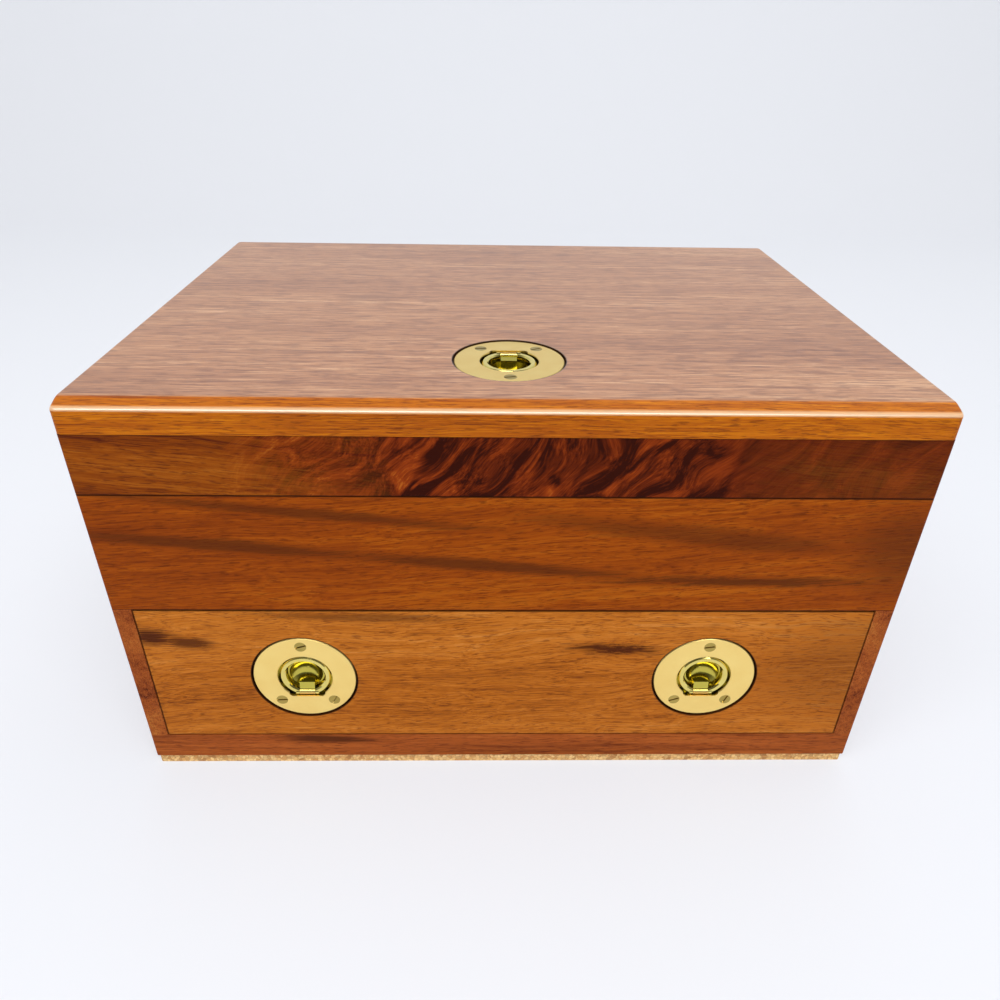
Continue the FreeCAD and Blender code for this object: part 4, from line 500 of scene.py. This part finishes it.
place = add(tree, "ShaderNodeTexCoord").outputs["Object"]
leaned = add(tree, "ShaderNodeMapping", {"Vector": place, "Rotation": (0, FEATHER_LEAN, 0)})
curl = add(tree, "ShaderNodeTexNoise",
           {"Vector": place, "Scale": 1 / (CURL_SIZE * mm), "Detail": 1})
off = add(tree, "ShaderNodeVectorMath", {0: curl.outputs["Color"], 1: (0.5, 0.5, 0.5)},
          operation="SUBTRACT")
far = add(tree, "ShaderNodeVectorMath", {0: off.outputs[0], "Scale": CURL_REACH * mm},
          operation="SCALE")
swept = add(tree, "ShaderNodeVectorMath", {0: leaned.outputs[0], 1: far.outputs[0]},
            operation="ADD").outputs[0]
feather = stretched(tree, swept, FEATHER_LONG, FEATHER_WIDE, 3, 0.55, 0.9)
hairs = stretched(tree, swept, HAIR_LONG, HAIR_WIDE, 3, 0.6)
level = add(tree, "ShaderNodeMath", {0: hairs, 1: HAIR_SHARE, 2: feather},
            operation="MULTIPLY_ADD")
across = add(tree, "ShaderNodeSeparateXYZ", {0: place})
gloom = add(tree, "ShaderNodeMapRange",
            {"Value": across.outputs["X"], "From Min": GLOOM_FROM * mm, "From Max": GLOOM_TO * mm,
             "To Min": GLOOM_START, "To Max": GLOOM_END})
level = add(tree, "ShaderNodeMath", {0: level.outputs[0], 1: gloom.outputs[0]}, operation="ADD")
wavy = add(tree, "ShaderNodeMath",
           {0: curl.outputs["Fac"], 1: CURL_WAVER * mm, 2: across.outputs["X"]},
           operation="MULTIPLY_ADD")
calms = add(tree, "ShaderNodeMapRange",
            {"Value": wavy.outputs[0], "From Min": CALM_FROM * mm, "From Max": CALM_TO * mm,
             "To Max": CALM_SHARE})
level = add(tree, "ShaderNodeMix", {0: calms.outputs[0], 2: level.outputs[0], 3: CALM_LEVEL})
flame = add(tree, "ShaderNodeValToRGB", {"Fac": level.outputs[0]},
            stops=tone_stops(FLAME_STOPS, FLAME_TONES))
begins = add(tree, "ShaderNodeMapRange",
             {"Value": wavy.outputs[0], "From Min": BEGIN_FROM * mm, "From Max": BEGIN_TO * mm})
fades = add(tree, "ShaderNodeMapRange",
            {"Value": wavy.outputs[0], "From Min": FADE_FROM * mm, "From Max": FADE_TO * mm,
             "To Min": 1.0, "To Max": FADE_SHARE})
share = add(tree, "ShaderNodeMath", {0: begins.outputs[0], 1: fades.outputs[0]},
            operation="MULTIPLY")
figured = add(tree, "ShaderNodeMix", {0: share.outputs[0], 6: plain, 7: flame.outputs[0]},
              data_type="RGBA")
tree.links.new(figured.outputs[2], shader.inputs["Base Color"])
finish_with(crotch, "lid_rail_front")

# Drawer front
# One walnut board, lighter than the case, its grain dipping towards the right end, with a small
# dark knot at the upper left and a smoky streak beside the right pull.
finish_with(walnut("oiled_walnut_drawer_front", ("#5e280e", "#a65c16", "#b96d22", "#c98840"),
                   shift=(3.2, 0.2, 0.1), lean=0.04, sway=9, contrast=0.9, drift=0.35,
                   marks=[(-147, front_face, 76.5, 17, 8, 0.1, 1.0),
                          (-133, front_face, 73.5, 20, 6, 0.2, 0.9),
                          (46, front_face, 70, 32, 6, 0.06, 1.0),
                          (-60, front_face, 87, 70, 4, 0.03, 0.6),
                          (155, front_face, 58, 75, 48, 0, 0.35)]),
            "drawer_front")

# Walnut fittings inside the box
# The lid's lining board and the mirror's beading, the tray and its ledges, and the walls round the
# music works, all cut from the same plain stock as the back.
finish_with(walnut("oiled_walnut_fittings", PLAIN_WALNUT, shift=(7.4, 0.8, 0.6)),
            "mirror_beading", "tray_frame", "tray_dividers", "music_bay_walls", "tray_ledges",
            "lid_lining_board")

# Seams and rebates
# Painted shade: the wood is darkened where boards meet and in the narrow gap round each plate,
# standing in for the shade in those gaps.
GAP_SHADE_COLOUR = "#1d0d05"
SEAM_WIDE, SEAM_FULL, SEAM_SHARE = 0.45, 0.1, 0.72
REBATE_RADIUS, REBATE_FADE, REBATE_SHARE = 23.1, 0.35, 0.92


def paint_seam_shade(name, axes):
    """Darkens a board's wood along its outermost edges on the given axes, as painted shade of the
    gaps there.
    """
    tree = nodes[name].data.materials[0].node_tree
    shader, wood = shader_and_colour(tree)
    place = add(tree, "ShaderNodeTexCoord").outputs["Object"]
    along = add(tree, "ShaderNodeSeparateXYZ", {0: place})
    low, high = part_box(name)
    for axis in axes:
        index = "XYZ".index(axis)
        middle, half = (low[index] + high[index]) / 2, (high[index] - low[index]) / 2
        off = add(tree, "ShaderNodeMath", {0: along.outputs[axis], 1: middle},
                  operation="SUBTRACT")
        off = add(tree, "ShaderNodeMath", {0: off.outputs[0]}, operation="ABSOLUTE")
        gap_shade = add(tree, "ShaderNodeMapRange",
                   {"Value": off.outputs[0], "From Min": half - SEAM_WIDE * mm,
                    "From Max": half - SEAM_FULL * mm, "To Max": SEAM_SHARE})
        wood = add(tree, "ShaderNodeMix", {0: gap_shade.outputs[0], 6: wood, 7: linear(GAP_SHADE_COLOUR)},
                   data_type="RGBA").outputs[2]
    tree.links.new(wood, shader.inputs["Base Color"])


def paint_rebate_shade(board, centres):
    """Darkens a board's wood inside a circle round each pull's middle on its face, as painted shade
    in the gap round each plate.
    """
    tree = board.node_tree
    shader, wood = shader_and_colour(tree)
    place = add(tree, "ShaderNodeTexCoord").outputs["Object"]
    for centre in centres:
        off = add(tree, "ShaderNodeVectorMath", {0: place, 1: centre}, operation="DISTANCE")
        gap_shade = add(tree, "ShaderNodeMapRange",
                   {"Value": off.outputs["Value"], "From Min": REBATE_RADIUS * mm,
                    "From Max": (REBATE_RADIUS - REBATE_FADE) * mm, "To Max": REBATE_SHARE})
        wood = add(tree, "ShaderNodeMix", {0: gap_shade.outputs[0], 6: wood, 7: linear(GAP_SHADE_COLOUR)},
                   data_type="RGBA").outputs[2]
    tree.links.new(wood, shader.inputs["Base Color"])


def face_middle(name, axis, side):
    """Middle of a pull plate, moved onto the face of the board that it is let into."""
    low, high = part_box(name)
    middle = (low + high) / 2
    middle[axis] = side
    return middle


# Painted shade along the gaps above and below these boards and round the drawer front.
for name, axes in (("upper_front_board", "Z"), ("lid_rail_front", "Z"), ("drawer_front", "XZ")):
    paint_seam_shade(name, axes)
# Painted shade in the narrow gap round each pull plate.
paint_rebate_shade(lid_board, [face_middle("lid_pull_plate", 2, top_face * mm)])
paint_rebate_shade(nodes["drawer_front"].data.materials[0],
               [face_middle(f"drawer_pull_plate_{side}", 1, front_face * mm)
                for side in ("left", "right")])

# Flush ring pulls, hinges and their screws
# Solid brass, lacquered. The round plates are turned and brushed to a satin, the rings and finger
# bowls are polished, and the slotted screws are duller and worn in their slots.
BRUSH_LONG, BRUSH_WIDE = 12, 0.25
# The bowls' darker olive colour is painted shade and dark reflection inside them.
BOWL_SHADE_OLIVE, BOWL_ROUGHNESS = "#c4b650", 0.14
BOWL_FROM, BOWL_FULL = 0.3, 1.2


def metal(name, colour, shade, roughness, brushed=0.0, cloud_mm=9, grain_mm=0.02):
    """A bare or plated metal: slightly uneven in tone, with fine brushing or casting grain."""
    material, tree, shader = new_material(name, Metallic=1.0)
    place = add(tree, "ShaderNodeTexCoord").outputs["Object"]
    cloud = add(tree, "ShaderNodeTexNoise",
                {"Vector": place, "Scale": 1 / (cloud_mm * mm), "Detail": 3})
    tint = add(tree, "ShaderNodeMix",
               {0: cloud.outputs["Fac"], 6: linear(colour), 7: linear(shade)}, data_type="RGBA")
    brush = stretched(tree, place, BRUSH_LONG, BRUSH_WIDE, 2)
    rough = add(tree, "ShaderNodeMapRange",
                {"Value": brush, "To Min": roughness * 0.8, "To Max": roughness * 1.25})
    bump = add(tree, "ShaderNodeBump",
               {"Height": brush, "Distance": grain_mm * mm, "Strength": 0.2 + brushed})
    tree.links.new(tint.outputs[2], shader.inputs["Base Color"])
    tree.links.new(rough.outputs[0], shader.inputs["Roughness"])
    tree.links.new(bump.outputs[0], shader.inputs["Normal"])
    return material


def polish_and_shade_bowl(material, axis, face, inward):
    """Polishes a satin plate where it is sunk below its face, and tints it a darker olive there as
    painted shade and dark reflection.
    """
    tree = material.node_tree
    shader, satin = shader_and_colour(tree)
    brushed = shader.inputs["Roughness"].links[0].from_socket
    place = add(tree, "ShaderNodeTexCoord").outputs["Object"]
    along = add(tree, "ShaderNodeSeparateXYZ", {0: place}).outputs[axis]
    sunk = add(tree, "ShaderNodeMapRange",
               {"Value": along, "From Min": face + inward * BOWL_FROM * mm,
                "From Max": face + inward * BOWL_FULL * mm}).outputs[0]
    tint = add(tree, "ShaderNodeMix", {0: sunk, 6: satin, 7: linear(BOWL_SHADE_OLIVE)},
               data_type="RGBA")
    rough = add(tree, "ShaderNodeMix", {0: sunk, 2: brushed, 3: BOWL_ROUGHNESS})
    tree.links.new(tint.outputs[2], shader.inputs["Base Color"])
    tree.links.new(rough.outputs[0], shader.inputs["Roughness"])


SATIN = ("#fee28e", "#f6d27a", 0.34, 0.2)
lid_plate = metal("satin_brass_lid_plate", *SATIN)
drawer_plates = metal("satin_brass_drawer_plates", *SATIN)
finish_with(lid_plate, "lid_pull_plate")
finish_with(drawer_plates, "drawer_pull_plate_left", "drawer_pull_plate_right")
polish_and_shade_bowl(lid_plate, "Z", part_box("lid_pull_plate")[1].z, -1)
polish_and_shade_bowl(drawer_plates, "Y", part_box("drawer_pull_plate_left")[0].y, 1)
finish_with(metal("satin_brass_hinges", *SATIN), "hinge_case_leaves", "hinge_lid_leaves")
finish_with(metal("polished_brass", "#efe088", "#dcc86a", 0.12),
            "lid_pull_ring", "drawer_pull_ring_left", "drawer_pull_ring_right", "lid_pull_pin",
            "drawer_pull_pins", "hinge_pins")
finish_with(metal("worn_screw_brass", "#c8b062", "#94803e", 0.3, 0.2),
            "lid_pull_screws", "drawer_pull_screws", "hinge_case_screws", "hinge_lid_screws")

# Mirror inside the lid
# Silvered float glass, held by the walnut beading, with the faint greasy veil of fingertips.
VEIL_CLOUD = 35
material, tree, shader = new_material("silvered_mirror_glass", Metallic=1.0, Coat_Weight=0.6,
                                      Coat_Roughness=0.02)
place = add(tree, "ShaderNodeTexCoord").outputs["Object"]
veil = add(tree, "ShaderNodeTexNoise",
           {"Vector": place, "Scale": 1 / (VEIL_CLOUD * mm), "Detail": 5})
tint = add(tree, "ShaderNodeMix",
           {0: veil.outputs["Fac"], 6: linear("#eef2f1"), 7: linear("#dfe6e4")},
           data_type="RGBA")
rough = add(tree, "ShaderNodeMapRange",
            {"Value": veil.outputs["Fac"], "From Min": 0.5, "From Max": 0.8,
             "To Min": 0.01, "To Max": 0.09})
tree.links.new(tint.outputs[2], shader.inputs["Base Color"])
tree.links.new(rough.outputs[0], shader.inputs["Roughness"])
finish_with(material, "lid_mirror")

# Velvet linings of the wells, the drawer and the tray
# Claret cotton velvet over thin felt, wrapped round card and pushed into each space, so that it
# lies flat, with soft rounded borders and a slightly uneven nap.
NAP = 0.35
NAP_CLOUD = 28
BORDER = 4.0
PAD_CUTS = 24
PAD_EDGE, PAD_CROWN, PAD_SAG = 0.55, 0.33, 0.12
SAG_WAVES = (83, 51), (-29, 67)


def velvet(name, deep_colour, nap_colour):
    """Cut pile: dark where it is looked into, paler where the nap leans."""
    material, tree, shader = new_material(name, Roughness=0.95, Sheen_Weight=0.9,
                                          Sheen_Roughness=0.35, Specular_IOR_Level=0.1)
    shader.inputs["Sheen Tint"].default_value = linear("#a8505a")
    place = add(tree, "ShaderNodeTexCoord").outputs["Object"]
    lie = add(tree, "ShaderNodeTexNoise",
              {"Vector": place, "Scale": 1 / (NAP_CLOUD * mm), "Detail": 4})
    pile = add(tree, "ShaderNodeTexNoise", {"Vector": place, "Scale": 1 / (NAP * mm), "Detail": 2})
    level = add(tree, "ShaderNodeMath", {0: pile.outputs["Fac"], 1: 0.6, 2: lie.outputs["Fac"]},
                operation="MULTIPLY_ADD")
    tint = add(tree, "ShaderNodeValToRGB", {"Fac": level.outputs[0]},
               stops=tone_stops((0.55, 0.95), (deep_colour, nap_colour)))
    bump = add(tree, "ShaderNodeBump",
               {"Height": pile.outputs["Fac"], "Distance": 0.25 * mm, "Strength": 0.5})
    tree.links.new(tint.outputs[0], shader.inputs["Base Color"])
    tree.links.new(bump.outputs[0], shader.inputs["Normal"])
    return material


claret_velvet = velvet("claret_cotton_velvet", "#3d0a12", "#5c161f")


def settle(piece):
    """Puts a piece's place, turn and size into its mesh."""
    bpy.ops.object.select_all(action="DESELECT")
    piece.select_set(True)
    bpy.context.view_layer.objects.active = piece
    bpy.ops.object.transform_apply(location=True, rotation=True, scale=True)


def padded_sheet(low, high):
    """One covered pad between two corners: rounded borders and a low crown."""
    bpy.ops.object.select_all(action="DESELECT")
    bpy.ops.mesh.primitive_cube_add(size=1, location=(low + high) / 2)
    pad = bpy.context.object
    pad.scale = high - low
    settle(pad)
    bpy.ops.object.mode_set(mode="EDIT")
    bpy.ops.mesh.select_all(action="SELECT")
    bpy.ops.mesh.subdivide(number_cuts=PAD_CUTS)
    bpy.ops.object.mode_set(mode="OBJECT")
    thick = high.z - low.z
    for vertex in pad.data.vertices:
        point = vertex.co
        inside = min(point.x - low.x, high.x - point.x, point.y - low.y, high.y - point.y)
        border = min(inside / (BORDER * mm), 1.0)
        waves = math.prod(math.sin(point.x * a + point.y * b) for a, b in SAG_WAVES)
        rise = (point.z - low.z) / thick
        rounded = math.sqrt(max(border * (2 - border), 0))
        crown = PAD_EDGE + PAD_CROWN * rounded + PAD_SAG * waves * border
        point.z = low.z + rise * thick * min(crown, 1.0)
    bpy.ops.object.shade_smooth()
    return pad


def lining(name, body, node, pads):
    """Joins the pads of one node into a piece that stands for it."""
    bpy.ops.object.select_all(action="DESELECT")
    for pad in pads:
        pad.select_set(True)
    bpy.context.view_layer.objects.active = pads[0]
    if len(pads) > 1:
        bpy.ops.object.join()
    piece = pads[0]
    piece.name = name
    piece.data.materials.append(claret_velvet)
    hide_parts(node)
    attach(piece, body)


def solids_of(name):
    """Lowest and highest corners of each separate solid of a CAD node, from left to right."""
    data = nodes[name].data
    links = {}
    keys = [tuple(round(value, 6) for value in vertex.co) for vertex in data.vertices]
    for key in keys:
        links.setdefault(key, key)

    def root(key):
        while links[key] != key:
            key = links[key]
        return key

    for face in data.polygons:
        first = root(keys[face.vertices[0]])
        for index in face.vertices[1:]:
            links[root(keys[index])] = first
    groups = {}
    for key in links:
        groups.setdefault(root(key), []).append(key)
    corners = []
    for points in groups.values():
        low = Vector([min(point[axis] for point in points) for axis in range(3)])
        high = Vector([max(point[axis] for point in points) for axis in range(3)])
        corners.append((low, high))
    return sorted(corners, key=lambda pair: tuple(pair[0]))


for name, body, node in (("velvet_well_linings", "case", "well_linings"),
                         ("velvet_drawer_lining", "drawer", "drawer_lining"),
                         ("velvet_tray_linings", "tray", "tray_linings")):
    lining(name, body, node, [padded_sheet(low, high) for low, high in solids_of(node)])

# Ring rolls in the tray
# Round foam cores covered in the same velvet and pressed side by side, so that rings slip in
# between. One is blown up as cloth and settled on the tray's floor, then copied along the row.
ROLL_SIDES, ROLL_STEP, ROLL_END = 32, 2.4, 0.8
PUFF_FRAMES, PUFF_PRESSURE, PUFF_ROOM = 18, 4.0, 0.45
rolls = solids_of("ring_rolls")
low, high = min(rolls, key=lambda pair: pair[0].y)
radius = (high.y - low.y) / 2
middle_y, middle_z = (low.y + high.y) / 2, high.z - radius
core = radius - PUFF_ROOM * mm
steps = int((high.x - low.x) / (ROLL_STEP * mm))
bpy.ops.object.select_all(action="DESELECT")
bpy.ops.mesh.primitive_circle_add(vertices=ROLL_SIDES, radius=core * ROLL_END,
                                  fill_type="TRIFAN",
                                  location=(low.x + PUFF_ROOM * mm, middle_y, middle_z),
                                  rotation=(0, math.pi / 2, 0))
roll = bpy.context.object
settle(roll)
bpy.ops.object.mode_set(mode="EDIT")
bpy.ops.mesh.select_all(action="SELECT")
length = high.x - low.x - 2 * PUFF_ROOM * mm
for step in range(steps):
    bpy.ops.mesh.extrude_region_move(TRANSFORM_OT_translate={"value": (length / steps, 0, 0)})
    if step in (0, steps - 1):
        size = 1 / ROLL_END if step == 0 else ROLL_END
        bpy.ops.transform.resize(value=(1, size, size))
bpy.ops.mesh.select_all(action="SELECT")
bpy.ops.mesh.normals_make_consistent(inside=False)
bpy.ops.object.mode_set(mode="OBJECT")
before = [vertex.co.copy() for vertex in roll.data.vertices]
cloth = roll.modifiers.new("cover", "CLOTH")
cloth.settings.use_pressure = True
cloth.settings.uniform_pressure_force = PUFF_PRESSURE
cloth.settings.effector_weights.gravity = 0
cloth.settings.quality = 4
cloth.point_cache.frame_start, cloth.point_cache.frame_end = 1, PUFF_FRAMES
for frame_number in range(1, PUFF_FRAMES + 1):
    scene.frame_set(frame_number)
bpy.ops.object.modifier_apply(modifier=cloth.name)
scene.frame_set(1)
for vertex, was in zip(roll.data.vertices, before):
    moved = vertex.co - was
    if moved.length > PUFF_ROOM * mm:
        vertex.co = was + moved * (PUFF_ROOM * mm / moved.length)
    out = Vector((0, vertex.co.y - middle_y, vertex.co.z - middle_z))
    if out.length > radius:
        out *= radius / out.length
        vertex.co.y, vertex.co.z = middle_y + out.y, middle_z + out.z
    vertex.co.z = max(vertex.co.z, low.z)
    vertex.co.x = min(max(vertex.co.x, low.x), high.x)
bpy.ops.object.shade_smooth()
row = [roll]
for other_low, _ in rolls:
    if abs(other_low.y - low.y) < mm:
        continue
    twin = roll.copy()
    twin.data = roll.data.copy()
    scene.collection.objects.link(twin)
    twin.data.transform(Matrix.Translation((0, other_low.y - low.y, 0)))
    row.append(twin)
bpy.ops.object.select_all(action="DESELECT")
for piece in row:
    piece.select_set(True)
bpy.context.view_layer.objects.active = roll
bpy.ops.object.join()
roll.name = "velvet_ring_rolls"
roll.data.materials.append(claret_velvet)
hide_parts("ring_rolls")
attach(roll, "tray")

# Music works
# A cast and lacquered bedplate with a nickelled spring housing, brass wheels, a brass cylinder
# with steel pins, and a comb of hardened steel, under a clear acrylic cover.
finish_with(metal("lacquered_cast_zinc", "#9a9c9c", "#7f8284", 0.42, 0.4, 4, 0.12),
            "music_bedplate")
finish_with(metal("nickel_plate", "#d9d6cd", "#c4c0b6", 0.2, 0.1), "spring_housing", "winding_key")
finish_with(metal("turned_brass", "#e6c877", "#cfae5c", 0.24, 0.2),
            "crown_wheel_and_arbor", "music_cylinder", "governor_wheel", "governor_frame")
finish_with(metal("hardened_steel", "#b9bcc0", "#9ea2a8", 0.22, 0.3),
            "music_comb", "music_works_screws", "governor_fan", "stop_plunger")
SCUFF_LONG, SCUFF_WIDE = 14, 0.3
material, tree, shader = new_material("clear_acrylic", Transmission_Weight=1.0, IOR=1.49)
place = add(tree, "ShaderNodeTexCoord").outputs["Object"]
scuffs = stretched(tree, place, SCUFF_LONG, SCUFF_WIDE, 3)
rough = add(tree, "ShaderNodeMapRange",
            {"Value": scuffs, "From Min": 0.58, "From Max": 0.75, "To Min": 0.01, "To Max": 0.12})
tree.links.new(rough.outputs[0], shader.inputs["Roughness"])
shader.inputs["Base Color"].default_value = linear("#f6f8f8")
finish_with(material, "music_bay_cover")
